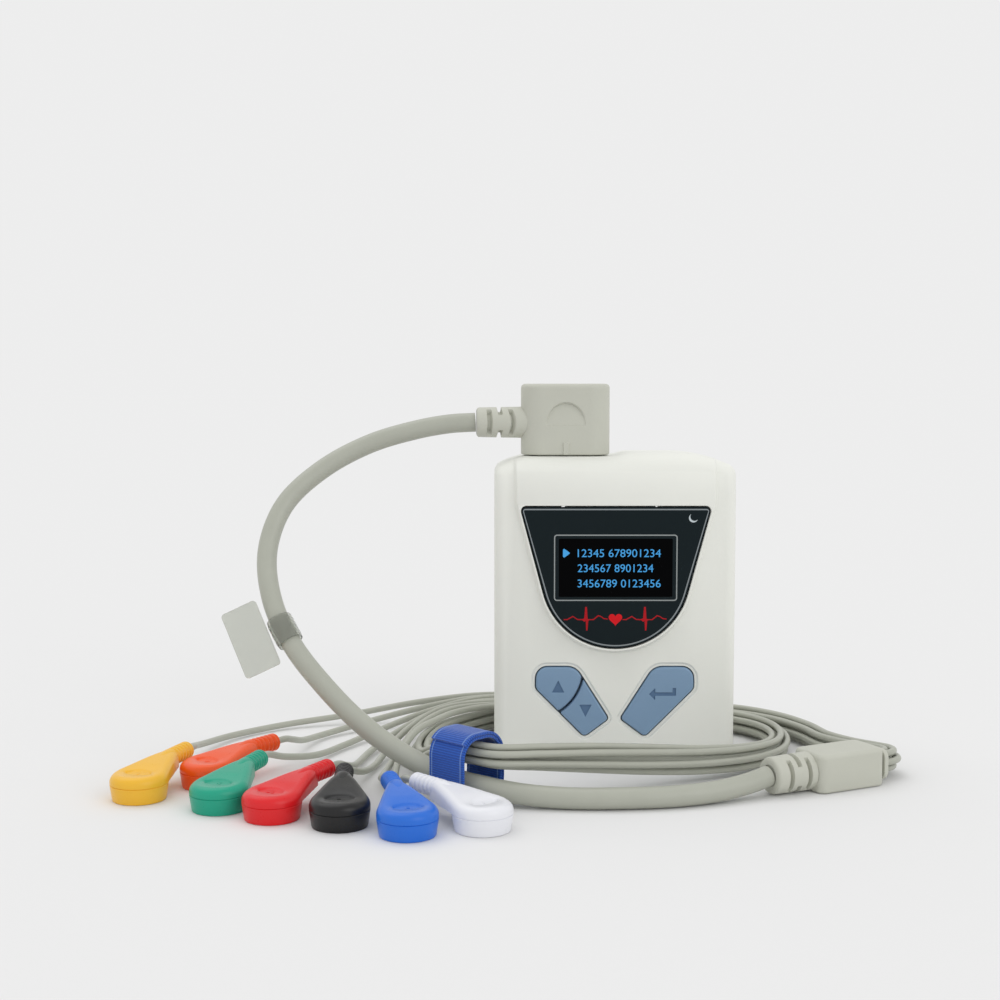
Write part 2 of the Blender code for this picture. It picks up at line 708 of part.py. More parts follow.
# Smooth lines
def smooth(points, per=SMOOTH_STEPS):
    """Centripetal Catmull-Rom curve through the rows of points."""
    p = np.array(points, float)
    p = np.vstack([2 * p[0] - p[1], p, 2 * p[-1] - p[-2]])
    t = np.concatenate([[0.0], np.cumsum(np.linalg.norm(np.diff(p[:, :3], axis=0), axis=1) ** 0.5)])
    rows = []
    for i in range(1, len(p) - 2):
        t0, t1, t2, t3 = t[i - 1:i + 3]
        s = np.linspace(t1, t2, per, endpoint=False)[:, None]
        a1 = (t1 - s) / (t1 - t0) * p[i - 1] + (s - t0) / (t1 - t0) * p[i]
        a2 = (t2 - s) / (t2 - t1) * p[i] + (s - t1) / (t2 - t1) * p[i + 1]
        a3 = (t3 - s) / (t3 - t2) * p[i + 1] + (s - t2) / (t3 - t2) * p[i + 2]
        b1 = (t2 - s) / (t2 - t0) * a1 + (s - t0) / (t2 - t0) * a2
        b2 = (t3 - s) / (t3 - t1) * a2 + (s - t1) / (t3 - t1) * a3
        rows.append((t2 - s) / (t2 - t1) * b1 + (s - t1) / (t2 - t1) * b2)
    rows.append(p[-2:-1])
    return np.vstack(rows)


def line_length(line):
    return float(np.linalg.norm(np.diff(line[:, :3], axis=0), axis=1).sum())


def stations(line, link_length, turn_degrees):
    """Indices along a fine line, one for each link length or each turn, whichever comes first."""
    steps = np.diff(line[:, :3], axis=0)
    lengths = np.linalg.norm(steps, axis=1)
    headings = steps / lengths[:, None]
    chosen = [0]
    run = 0.0
    for index in range(1, len(line) - 1):
        run += lengths[index - 1]
        bend = float(np.clip(headings[index] @ headings[chosen[-1]], -1.0, 1.0))
        if run >= link_length or math.degrees(math.acos(bend)) >= turn_degrees:
            chosen.append(index)
            run = 0.0
    if run < link_length / 3 and len(chosen) > 1:
        chosen.pop()
    chosen.append(len(line) - 1)
    return chosen


def strand_offset(place, spread, twist):
    """Across and up offsets of a strand's place in the round bundle."""
    if place == 0:
        return np.zeros_like(spread), np.zeros_like(spread)
    angle = np.radians(60.0 * place - 30.0 + twist)
    return spread * np.cos(angle), spread * np.sin(angle)


def bundle_strand(place):
    """A strand's fine line through the bundle."""
    line = smooth(BUNDLE_ROUTE)
    heading = np.gradient(line[:, :2], axis=0)
    heading /= np.linalg.norm(heading, axis=1)[:, None]
    left = np.stack([-heading[:, 1], heading[:, 0]], axis=1)
    across, up = strand_offset(place, line[:, 3], line[:, 4] - BUNDLE_ROUTE[-1][4])
    return np.stack([line[:, 0] - across * left[:, 0], line[:, 1] - across * left[:, 1],
                     line[:, 2] + up], axis=1)


def head_tail(head):
    """Disc centre, tail heading and the point where the lead enters the tail."""
    _, _, x, y, degrees, _, _ = head
    heading = Vector((math.cos(math.radians(degrees)), math.sin(math.radians(degrees)), 0.0))
    end = Vector((x, y, TAIL_Z)) + heading * (TAIL_LENGTH + GAP)
    return Vector((x, y, 0.0)), heading, end


def lead_line(head):
    """A lead's fine line: through the bundle, then along its own points to the tail.

    The bundle's last stretch is drawn anew, so that the lead leaves it without a kink.
    """
    strand = bundle_strand(head[5])
    _, heading, end = head_tail(head)
    lead_in = end + heading * 2 * LEAD_DIAMETER
    bundle_end = [tuple(strand[-1 - back * SMOOTH_STEPS]) for back in (2, 1, 0)]
    own = smooth(bundle_end + head[6] + [tuple(lead_in), tuple(end)])
    return np.vstack([strand[:-SMOOTH_STEPS], own[SMOOTH_STEPS + 1:]])


def lead_points(head):
    """The lead's tube points: the same stations for every lead in the bundle, then its own."""
    line = lead_line(head)
    shared = len(smooth(BUNDLE_ROUTE)) - 2 * SMOOTH_STEPS
    bundle = stations(smooth(BUNDLE_ROUTE)[:shared], LEAD_LINK, LEAD_TURN)
    own = stations(line[shared - 1:], LEAD_LINK, LEAD_TURN)
    return np.vstack([line[bundle], line[shared - 1:][own[1:]]])


# Recorder case
def roll_profile(inset):
    """Side profile (y, z) of the case: flat front, rolled top front edge, flat back."""
    top = CASE_HEIGHT - inset
    points = [(CASE_BACK + OVERRUN, -OVERRUN), (CASE_BACK + OVERRUN, top), (0.0, top)]
    centre_y = -BEZEL_FRONT + ROLL_DEPTH
    centre_z = CASE_HEIGHT - ROLL_HEIGHT
    for step in range(ROLL_STEPS + 1):
        angle = math.pi / 2 * step / ROLL_STEPS
        points.append((centre_y - (ROLL_DEPTH - inset) * math.sin(angle),
                       centre_z + (ROLL_HEIGHT - inset) * math.cos(angle)))
    points.append((-BEZEL_FRONT + inset, -OVERRUN))
    return points


def roll_solid(name, inset):
    """The side profile drawn across the whole width."""
    half = CASE_WIDTH / 2 + OVERRUN
    frame = Matrix(((0.0, 0.0, 1.0, 0.0), (1.0, 0.0, 0.0, 0.0), (0.0, 1.0, 0.0, 0.0),
                    (0.0, 0.0, 0.0, 1.0)))
    return slab(name, roll_profile(inset), -half, half, frame=frame)


def post_places():
    """Screw posts at the case's four corners."""
    return [(side * POST_X, z) for side in (-1, 1) for z in (POST_LOW_Z, POST_HIGH_Z)]


def make_case():
    """Front and rear shells cut from one rounded, hollow body."""
    body = slab("case_body", case_outline(), -CASE_FRONT, CASE_BACK, CASE_EDGE, 1)
    bezel = slab("bezel", badge_outline(BEZEL_MARGIN, CASE_HEIGHT + OVERRUN, BEZEL_TOP_WIDTH),
                 -BEZEL_FRONT, 0.0, BEZEL_EDGE)
    inner_case = slab("bezel_bound", case_outline(), -BEZEL_FRONT - OVERRUN, CASE_BACK)
    keep(bezel, inner_case)
    join(body, bezel)
    keep(body, roll_solid("roll", 0.0))
    seat = tower("plug_seat_cut", stadium(HOOD_WIDTH + 2 * SEAT_MARGIN, HOOD_DEPTH + 2 * SEAT_MARGIN,
                                          HOOD_X), SEAT_Z, CASE_HEIGHT + OVERRUN)
    cut(body, seat)
    hollow = slab("hollow", case_outline(CASE_WALL), -CASE_FRONT + CASE_WALL,
                  CASE_BACK - CASE_WALL, CAVITY_EDGE)
    keep(hollow, roll_solid("roll_inner", CASE_WALL))
    cut(body, hollow)
    collar = tower("collar_cut", stadium(INSERT_WIDTH + 4 * GAP, INSERT_DEPTH + 4 * GAP, HOOD_X),
                   SEAT_Z - CASE_WALL - OVERRUN, CASE_HEIGHT + OVERRUN)
    cut(body, collar)
    low = (-CASE_WIDTH, -CASE_WIDTH, -OVERRUN)
    high = (CASE_WIDTH, CASE_WIDTH, CASE_HEIGHT + OVERRUN)
    rear = link("rear_shell", body.data.copy())
    front = link("front_shell", body.data.copy())
    as_cutter(body)
    cut(front, box("rear_half", (low[0], SEAM_Y - GAP / 2, low[2]), high))
    cut(rear, box("front_half", low, (high[0], SEAM_Y + GAP / 2, high[2])))
    front_details(front)
    rear_details(rear)
    dress(front, "case_white")
    dress(rear, "case_white")


def front_details(front):
    """Window recess, display and light openings, key dishes and holes, screw posts."""
    recess = BEZEL_FRONT - WINDOW_THICK - 2 * GAP
    cut(front, slab("window_cut", badge_outline(0.0), -BEZEL_FRONT - OVERRUN, -recess))
    cut(front, slab("display_cut", rectangle(SCREEN_WIDTH + 2 * GAP, SCREEN_HEIGHT + 2 * GAP,
                                             0.0, 0.0, SCREEN_Z),
                    -BEZEL_FRONT - OVERRUN, -CASE_FRONT + CASE_WALL + OVERRUN))
    cut(front, rod("light_cut", (LIGHT_X, -BEZEL_FRONT - OVERRUN, LIGHT_Z),
                   (LIGHT_X, -CASE_FRONT + CASE_WALL + OVERRUN, LIGHT_Z),
                   LIGHT_RADIUS + GAP, POST_STEPS))
    for side in (-1, 1):
        cut(front, slab("dish_cut", pad_outline(KEY_DISH, side), -CASE_FRONT - OVERRUN,
                        -CASE_FRONT + KEY_DISH_DEPTH))
        cut(front, slab("key_cut", pad_outline(GAP, side), -CASE_FRONT - OVERRUN,
                        -CASE_FRONT + CASE_WALL + OVERRUN))
    inside = -CASE_FRONT + CASE_WALL
    for x, z in post_places():
        post = rod("post", (x, inside - CASE_WALL / 2, z), (x, SEAM_Y - GAP, z), POST_RADIUS, POST_STEPS)
        bore = rod("post_bore", (x, inside + CASE_WALL, z), (x, SEAM_Y + OVERRUN, z),
                   SCREW_RADIUS + GAP, POST_STEPS)
        join(front, post)
        cut(front, bore)


def rear_details(rear):
    """Door opening, hinge knuckles and screw posts with sunk heads."""
    opening = box("door_cut", (HINGE_X - KNUCKLE_RADIUS - GAP, CASE_BACK - CASE_WALL - OVERRUN,
                               DOOR_LOW_Z - GAP),
                  (DOOR_FREE_X + GAP, CASE_BACK + OVERRUN, DOOR_HIGH_Z + GAP))
    cut(rear, opening)
    for low, high in knuckle_spans():
        web = box("shell_web", (HINGE_X - KNUCKLE_RADIUS - CASE_WALL, HINGE_Y - KNUCKLE_RADIUS / 2, low),
                  (HINGE_X, CASE_BACK - GAP, high))
        knuckle = rod("shell_knuckle", (HINGE_X, HINGE_Y, low), (HINGE_X, HINGE_Y, high),
                      KNUCKLE_RADIUS, HINGE_STEPS)
        join(web, knuckle)
        join(rear, web)
    cut(rear, rod("shell_pin_cut", (HINGE_X, HINGE_Y, DOOR_LOW_Z), (HINGE_X, HINGE_Y, DOOR_HIGH_Z),
                  PIN_RADIUS + GAP, HINGE_STEPS))
    for x, z in post_places():
        post = rod("post", (x, SEAM_Y + GAP, z), (x, CASE_BACK - CASE_WALL / 2, z), POST_RADIUS, POST_STEPS)
        join(rear, post)
        bore = rod("screw_cut", (x, SEAM_Y - OVERRUN, z), (x, CASE_BACK + OVERRUN, z),
                   SCREW_RADIUS + GAP, POST_STEPS)
        sink = rod("head_cut", (x, CASE_BACK - SCREW_SINK - SCREW_HEAD_THICK - GAP, z),
                   (x, CASE_BACK + OVERRUN, z), SCREW_HEAD_RADIUS + GAP, POST_STEPS)
        cut(rear, bore, sink)


def make_seal():
    """Rubber ring that lies inside the seam between the shells."""
    outer = case_outline(CASE_WALL + GAP)
    inner = case_outline(CASE_WALL + GAP + SEAL_THICK)
    ring = slab("case_seal", outer, SEAM_Y - SEAL_DEPTH / 2, SEAM_Y + SEAL_DEPTH / 2, holes=(inner,))
    cut(ring, box("seal_socket_cut", (HOOD_X - SOCKET_WIDTH / 2 - GAP, SEAM_Y - SEAL_DEPTH,
                                      SOCKET_LOW_Z),
                  (HOOD_X + SOCKET_WIDTH / 2 + GAP, SEAM_Y + SEAL_DEPTH, CASE_HEIGHT)))
    dress(ring, "seal_rubber")


def make_screws():
    """Four case screws, each a head and a shank."""
    for index, (x, z) in enumerate(post_places()):
        profile = [(0.0, 0.0), (0.0, SCREW_HEAD_RADIUS), (SCREW_HEAD_THICK, SCREW_HEAD_RADIUS),
                   (SCREW_HEAD_THICK, SCREW_RADIUS), (SCREW_LENGTH, SCREW_RADIUS), (SCREW_LENGTH, 0.0)]
        screw = turned(f"case_screw_{index + 1}", profile, (x, CASE_BACK - SCREW_SINK, z),
                       (0.0, -1.0, 0.0), POST_STEPS)
        dress(screw, "steel")


# Window, display, light
def make_display():
    """Window pane, display panel and status light."""
    pane_back = -BEZEL_FRONT + WINDOW_THICK + GAP
    pane = slab("display_window", badge_outline(-GAP), -BEZEL_FRONT + GAP, pane_back)
    dress(pane, "window_dark")
    inside = -CASE_FRONT + CASE_WALL + GAP
    glass = box("glass", (-SCREEN_WIDTH / 2, inside - SCREEN_GLASS, SCREEN_Z - SCREEN_HEIGHT / 2),
                (SCREEN_WIDTH / 2, inside + SCREEN_BOARD_THICK / 2, SCREEN_Z + SCREEN_HEIGHT / 2))
    margin = SCREEN_BOARD_MARGIN
    board = box("display_module",
                (-SCREEN_WIDTH / 2 - margin, inside, SCREEN_Z - SCREEN_HEIGHT / 2 - margin),
                (SCREEN_WIDTH / 2 + margin, inside + SCREEN_BOARD_THICK,
                 SCREEN_Z + SCREEN_HEIGHT / 2 + margin))
    join(board, glass)
    dress(board, "screen")
    profile = [(0.0, 0.0), (0.0, LIGHT_RADIUS), (inside - pane_back - GAP, LIGHT_RADIUS),
               (inside - pane_back - GAP, LIGHT_RADIUS + LIGHT_FLANGE),
               (inside - pane_back - GAP + LIGHT_FLANGE_THICK, LIGHT_RADIUS + LIGHT_FLANGE),
               (inside - pane_back - GAP + LIGHT_FLANGE_THICK, 0.0)]
    lens = turned("light_lens", profile, (LIGHT_X, pane_back + GAP, LIGHT_Z), (0.0, 1.0, 0.0), POST_STEPS)
    dress(lens, "clear_film")


# Keys
def triangle(u, v, up):
    """Triangle about (u, v) that points up or down."""
    half = MARK_SIZE / 2
    return [(u - half, v - up * half), (u + half, v - up * half), (u, v + up * half)]


def enter_mark():
    """Return arrow: a long bar with a head at its left and a short riser at its right."""
    u, v = MARK_ENTER_X, MARK_ENTER_Z
    half, stem = MARK_ENTER_WIDTH / 2, MARK_ENTER_STEM / 2
    tip = MARK_SIZE / 2
    return [(u - half, v), (u - half + tip, v - tip), (u - half + tip, v - stem), (u + half, v - stem),
            (u + half, v + tip), (u + half - 2 * stem, v + tip), (u + half - 2 * stem, v + stem),
            (u - half + tip, v + stem), (u - half + tip, v + tip)]


def key_blank(name, side):
    """A key pad with a flange behind the case's front wall."""
    inside = -CASE_FRONT + CASE_WALL + GAP
    pad = slab(name, pad_outline(0.0, side), -CASE_FRONT - KEY_PROUD,
               inside + KEY_FLANGE_THICK / 2, KEY_EDGE)
    flange = slab("flange", pad_outline(KEY_FLANGE, side), inside, inside + KEY_FLANGE_THICK)
    return join(pad, flange)


def make_keys():
    """Up and down keys split by an arc, and the enter key."""
    front = -CASE_FRONT - KEY_PROUD
    ends = ((SPLIT_X, front - OVERRUN, SPLIT_Z), (SPLIT_X, front + CASE_FRONT, SPLIT_Z))
    marks = {
        "button_up": triangle(MARK_UP_X, MARK_UP_Z, 1),
        "button_down": triangle(MARK_DOWN_X, MARK_DOWN_Z, -1),
        "button_enter": enter_mark(),
    }
    up = key_blank("button_up", -1)
    keep(up, rod("split_in", *ends, SPLIT_RADIUS, SPLIT_STEPS))
    down = key_blank("button_down", -1)
    cut(down, rod("split_out", *ends, SPLIT_RADIUS + GAP, SPLIT_STEPS))
    enter = key_blank("button_enter", 1)
    for key in (up, down, enter):
        cut(key, slab("mark_cut", marks[key.name], front - OVERRUN, front + MARK_DEPTH))
        dress(key, "key_blue")


def make_key_mat():
    """Silicone mat behind the keys."""
    front = -CASE_FRONT + CASE_WALL + GAP + KEY_FLANGE_THICK + KEY_TRAVEL + GAP / 2
    mat = slab("key_mat", rectangle(MAT_WIDTH, MAT_HEIGHT, MAT_CORNER, 0.0, MAT_Z), front,
               front + MAT_THICK)
    dress(mat, "silicone")
    back = BOARD_FRONT - GAP
    sheet = slab("dome_sheet", rectangle(MAT_WIDTH - 2 * MAT_CORNER, MAT_HEIGHT - 2 * MAT_CORNER,
                                         MAT_CORNER, 0.0, MAT_Z), back - SHEET_THICK, back)
    for x, z in ((MARK_UP_X, MARK_UP_Z), (MARK_DOWN_X, MARK_DOWN_Z), (MARK_ENTER_X, MARK_ENTER_Z)):
        join(sheet, rod("dome", (x, front + MAT_THICK + GAP, z), (x, back - SHEET_THICK / 2, z),
                        DOME_RADIUS * DOME_CROWN_SHARE, DOME_STEPS, DOME_RADIUS))
    dress(sheet, "steel")


# Board and what sits on it
def make_board():
    """Main board with chips and buzzer, and the memory card in its socket."""
    middle = (BOARD_LOW_Z + BOARD_HIGH_Z) / 2
    board = slab("main_board", rectangle(BOARD_WIDTH, BOARD_HIGH_Z - BOARD_LOW_Z, BOARD_CORNER, 0.0,
                                         middle), BOARD_FRONT, BOARD_FRONT + BOARD_THICK)
    for x, z, width, height in CHIPS:
        join(board, box("chip", (x - width / 2, BOARD_FRONT - CHIP_THICK, z - height / 2),
                        (x + width / 2, BOARD_FRONT + BOARD_THICK / 2, z + height / 2)))
    dress(board, "board_green")
    x, z, width, height = PROCESSOR
    chip = box("processor_chip", (x - width / 2, BOARD_FRONT - GAP - CHIP_THICK, z - height / 2),
               (x + width / 2, BOARD_FRONT - GAP, z + height / 2))
    dress(chip, "chip_black")
    back = BOARD_FRONT + BOARD_THICK + GAP
    buzzer = rod("buzzer", (BUZZER_X, back, BUZZER_Z), (BUZZER_X, back + BUZZER_THICK, BUZZER_Z),
                 BUZZER_RADIUS, CELL_STEPS)
    dress(buzzer, "chip_black")
    half, wall = CARD_WIDTH / 2, CARD_SLOT_WALL
    thick = CARD_THICK + 2 * GAP + 2 * wall
    shell = box("card_socket", (CARD_X - half - GAP - wall, back, CARD_Z),
                (CARD_X + half + GAP + wall, back + thick, CARD_Z + CARD_LENGTH))
    cut(shell, box("card_cut", (CARD_X - half - GAP, back + wall, CARD_Z - OVERRUN),
                   (CARD_X + half + GAP, back + thick - wall, CARD_Z + CARD_LENGTH - wall)))
    dress(shell, "steel")
    card = box("memory_card", (CARD_X - half, back + wall + GAP, CARD_Z - 2 * wall),
               (CARD_X + half, back + wall + GAP + CARD_THICK, CARD_Z + CARD_LENGTH - wall - GAP))
    dress(card, "chip_black")


# Batteries
def tray_floor():
    """Front face (y) of the battery tray."""
    return BOARD_FRONT + BOARD_THICK + GAP


def make_batteries():
    """Tray open to the rear, two cells, and a contact plate with its spring at each end."""
    half = 2 * CELL_RADIUS + 1.5 * TRAY_CELL_GAP
    floor = tray_floor()
    back = CASE_BACK - DOOR_THICK - TRAY_LIP
    tray = box("battery_tray", (-half - TRAY_WALL, floor, TRAY_LOW_Z),
               (half + TRAY_WALL, back, TRAY_HIGH_Z))
    cut(tray, box("tray_cut", (-half, floor + TRAY_WALL, TRAY_LOW_Z + TRAY_WALL),
                  (half, back + OVERRUN, TRAY_HIGH_Z - TRAY_WALL)))
    dress(tray, "chip_black")
    y = floor + TRAY_WALL + GAP + CELL_RADIUS
    low = TRAY_LOW_Z + TRAY_WALL
    high = TRAY_HIGH_Z - TRAY_WALL
    for index, side in enumerate((-1, 1)):
        x = side * (CELL_RADIUS + TRAY_CELL_GAP / 2)
        profile = [(0.0, 0.0), (0.0, CELL_RADIUS), (CELL_LENGTH - CELL_TIP, CELL_RADIUS),
                   (CELL_LENGTH - CELL_TIP, CELL_TIP_RADIUS), (CELL_LENGTH, CELL_TIP_RADIUS),
                   (CELL_LENGTH, 0.0)]
        flip = 1 if index == 0 else -1
        reach = CONTACT_THICK + 2 * GAP
        foot = high - reach - CELL_LENGTH if flip > 0 else low + reach + CELL_LENGTH
        cell = turned(f"battery_{index + 1}", profile, (x, y, foot), (0.0, 0.0, flip), CELL_STEPS)
        dress(cell, "cell_label")
        plate_z = low + GAP if flip > 0 else high - GAP - CONTACT_THICK
        plate = box(f"battery_contact_{index + 1}", (-half + GAP, y - SPRING_RADIUS, plate_z),
                    (half - GAP, y + SPRING_RADIUS, plate_z + CONTACT_THICK))
        start = plate_z + CONTACT_THICK / 2
        join(plate, spring((x, y, start), foot - flip * GAP - start))
        dress(plate, "steel")


def spring(start, reach):
    """Coil spring from start along Z, wound from its formula."""
    count = SPRING_TURNS * SPRING_POINTS + 1
    share = np.linspace(0.0, 1.0, count)
    angle = 2 * math.pi * SPRING_TURNS * share
    radius = SPRING_RADIUS - SPRING_WIRE
    wire = math.copysign(SPRING_WIRE, reach)
    points = np.stack([start[0] + radius * np.cos(angle), start[1] + radius * np.sin(angle),
                       start[2] + wire + (reach - 2 * wire) * share], axis=1)
    return tube("spring", points, SPRING_WIRE, 1)


# Battery door and hinge
def knuckle_spans():
    """Heights of the two hinge knuckles that belong to the rear shell."""
    return [(DOOR_LOW_Z, DOOR_LOW_Z + KNUCKLE_LENGTH), (DOOR_HIGH_Z - KNUCKLE_LENGTH, DOOR_HIGH_Z)]


def make_door():
    """Battery door with its long middle knuckle, and the hinge pin."""
    near = HINGE_X + KNUCKLE_RADIUS + 2 * GAP
    middle = (DOOR_LOW_Z + DOOR_HIGH_Z) / 2
    door = slab("battery_door", rectangle(DOOR_FREE_X - near, DOOR_HIGH_Z - DOOR_LOW_Z, DOOR_CORNER,
                                          (near + DOOR_FREE_X) / 2, middle),
                CASE_BACK - DOOR_THICK, CASE_BACK)
    low = DOOR_LOW_Z + KNUCKLE_LENGTH + GAP
    high = DOOR_HIGH_Z - KNUCKLE_LENGTH - GAP
    web = box("door_web", (HINGE_X, CASE_BACK - DOOR_THICK, low), (near + GAP, CASE_BACK - GAP, high))
    knuckle = rod("door_knuckle", (HINGE_X, HINGE_Y, low), (HINGE_X, HINGE_Y, high), KNUCKLE_RADIUS,
                  HINGE_STEPS)
    join(web, knuckle)
    join(door, web)
    cut(door, rod("door_pin_cut", (HINGE_X, HINGE_Y, DOOR_LOW_Z), (HINGE_X, HINGE_Y, DOOR_HIGH_Z),
                  PIN_RADIUS + GAP, HINGE_STEPS))
    for step in range(GRIP_COUNT):
        z = DOOR_HIGH_Z - GRIP_DROP - step * GRIP_PITCH
        cut(door, box("grip_cut", (-GRIP_LENGTH / 2, CASE_BACK - GRIP_DEPTH, z),
                      (GRIP_LENGTH / 2, CASE_BACK + OVERRUN, z + GRIP_WIDTH)))
    dress(door, "case_white")
    pin = rod("door_pin", (HINGE_X, HINGE_Y, DOOR_LOW_Z + GAP), (HINGE_X, HINGE_Y, DOOR_HIGH_Z - GAP),
              PIN_RADIUS, HINGE_STEPS)
    dress(pin, "steel")


# Socket and plug
def stadium(width, depth, u=0.0, v=0.0):
    """Outline (x, y) with round ends about (u, v)."""
    return rectangle(width, depth, depth / 2 - WELD, u, v)


def make_socket():
    """Cable socket under the seat, with its contact blade."""
    top = SEAT_Z - CASE_WALL - SOCKET_TOP_GAP
    socket = tower("cable_socket", rectangle(SOCKET_WIDTH, SOCKET_DEPTH, BOARD_CORNER, HOOD_X, 0.0),
                   SOCKET_LOW_Z, top)
    cut(socket, tower("socket_cut", stadium(INSERT_WIDTH + 2 * GAP, INSERT_DEPTH + 2 * GAP, HOOD_X),
                      SOCKET_LOW_Z + SOCKET_FLOOR, top + OVERRUN))
    dress(socket, "chip_black")
    low = SOCKET_LOW_Z + SOCKET_FLOOR + GAP
    blade = box("socket_blade", (HOOD_X - BLADE_WIDTH / 2, -BLADE_THICK / 2, low),
                (HOOD_X + BLADE_WIDTH / 2, BLADE_THICK / 2, low + BLADE_HEIGHT))
    dress(blade, "gold")


def hood_outline(grow=0.0):
    return stadium(HOOD_WIDTH + 2 * grow, HOOD_DEPTH + 2 * grow, HOOD_X)


def ring_profile(length, radius, rings, ring_share):
    """Profile of a ribbed strain relief from its tip to its root, as (along, radius)."""
    pitch = length * ring_share / rings
    gap = pitch / 3
    profile = [(0.0, 0.0), (0.0, radius - BOOT_GROOVE), (gap, radius)]
    for ring in range(rings):
        start = gap + ring * pitch
        profile += [(start + pitch - gap, radius), (start + pitch - gap, radius - BOOT_GROOVE),
                    (start + pitch, radius - BOOT_GROOVE), (start + pitch, radius)]
    return profile + [(length, radius), (length, 0.0)]


def make_plug():
    """Plug hood with its thumb recesses and index rib, its insert and its strain relief."""
    low = SEAT_Z + GAP
    hood = tower("plug_hood", hood_outline(), low, low + HOOD_HEIGHT, HOOD_EDGE)
    hollow = tower("hood_cut", stadium(HOOD_WIDTH - 2 * HOOD_WALL, HOOD_DEPTH - 2 * HOOD_WALL, HOOD_X),
                   low - OVERRUN, low + HOOD_HOLLOW_HEIGHT)
    cut(hood, hollow)
    for side in (-1, 1):
        thumb = rod("thumb_cut", (HOOD_X, side * (HOOD_DEPTH / 2 - THUMB_DEPTH), low + THUMB_LOW),
                    (HOOD_X, side * (HOOD_DEPTH / 2 + OVERRUN), low + THUMB_LOW), THUMB_WIDTH / 2,
                    CELL_STEPS)
        thumb.data.transform(Matrix.Translation((0.0, 0.0, low + THUMB_LOW))
                             @ Matrix.Diagonal((1.0, 1.0, 2 * THUMB_HEIGHT / THUMB_WIDTH, 1.0))
                             @ Matrix.Translation((0.0, 0.0, -low - THUMB_LOW)))
        cut(thumb, box("thumb_low", (HOOD_X - THUMB_WIDTH, -HOOD_WIDTH, low - OVERRUN),
                       (HOOD_X + THUMB_WIDTH, HOOD_WIDTH, low + THUMB_LOW)))
        cut(hood, thumb)
    rib = box("index", (HOOD_X - INDEX_WIDTH / 2, -HOOD_DEPTH / 2 - INDEX_PROUD, low + HOOD_EDGE),
              (HOOD_X + INDEX_WIDTH / 2, -HOOD_DEPTH / 2 + HOOD_WALL / 2, low + INDEX_HEIGHT))
    join(hood, rib)
    dress(hood, "cable_grey")
    insert_low = SEAT_Z - INSERT_REACH
    insert = tower("plug_insert", stadium(INSERT_WIDTH, INSERT_DEPTH, HOOD_X), insert_low,
                   insert_low + INSERT_HEIGHT)
    blade_top = SOCKET_LOW_Z + SOCKET_FLOOR + GAP + BLADE_HEIGHT
    cut(insert, box("slot_cut", (HOOD_X - BLADE_WIDTH / 2 - SLOT_GAP, -BLADE_THICK / 2 - SLOT_GAP,
                                 insert_low - OVERRUN),
                    (HOOD_X + BLADE_WIDTH / 2 + SLOT_GAP, BLADE_THICK / 2 + SLOT_GAP,
                     blade_top + SLOT_GAP)))
    dress(insert, "steel")
    profile = ring_profile(BOOT_ROOT_X - BOOT_TIP_X, BOOT_RADIUS, BOOT_RINGS, BOOT_RING_SHARE)
    boot = turned("plug_boot", profile, (BOOT_TIP_X, 0.0, BOOT_Z), (1.0, 0.0, 0.0), BOOT_STEPS)
    cut(boot, tower("boot_cut", hood_outline(GAP), low, low + HOOD_HEIGHT))
    dress(boot, "cable_grey")


# Cord, label, yoke and strap
def make_trunk():
    """Trunk cord and the clear sleeve and flag on it."""
    line = smooth(TRUNK_ROUTE)
    chosen = stations(line, TRUNK_LINK, TRUNK_TURN)
    radius = TRUNK_DIAMETER / 2
    dress(tube("trunk_cord", line[chosen], radius, 3), "cord_grey")
    print("trunk cord length", round(line_length(line), 4), "points", len(chosen))
    along = np.concatenate([[0.0], np.cumsum(np.linalg.norm(np.diff(line, axis=0), axis=1))])
    share = along / along[-1]
    inside = np.nonzero((share > SLEEVE_START_SHARE) & (share < SLEEVE_END_SHARE))[0]
    middle = line[inside]
    sleeve = tube("tag_sleeve", middle[::2], SLEEVE_RADIUS, 3)
    longer = line[inside[0] - 12:inside[-1] + 12]
    cut(sleeve, tube("sleeve_cut", longer[::2], radius + SLEEVE_GAP, 3))
    dress(sleeve, "clear_film")
    long_axis = Vector(FLAG_AXIS).normalized()
    wide_axis = Vector((-long_axis.z, 0.0, long_axis.x)).normalized()
    normal = long_axis.cross(wide_axis)
    frame = Matrix((wide_axis, long_axis, -normal)).transposed().to_4x4()
    flag = slab("tag_flag", rectangle(FLAG_WIDTH, FLAG_LENGTH, FLAG_CORNER), -FLAG_THICK / 2,
                FLAG_THICK / 2, frame=Matrix.Translation(FLAG_CENTRE) @ frame)
    cut(flag, tube("flag_cut", longer[::2], SLEEVE_RADIUS + SLEEVE_GAP, 3))
    dress(flag, "clear_film")


def yoke_axis():
    angle = math.radians(YOKE_HEADING)
    return Vector((math.cos(angle), math.sin(angle), 0.0))


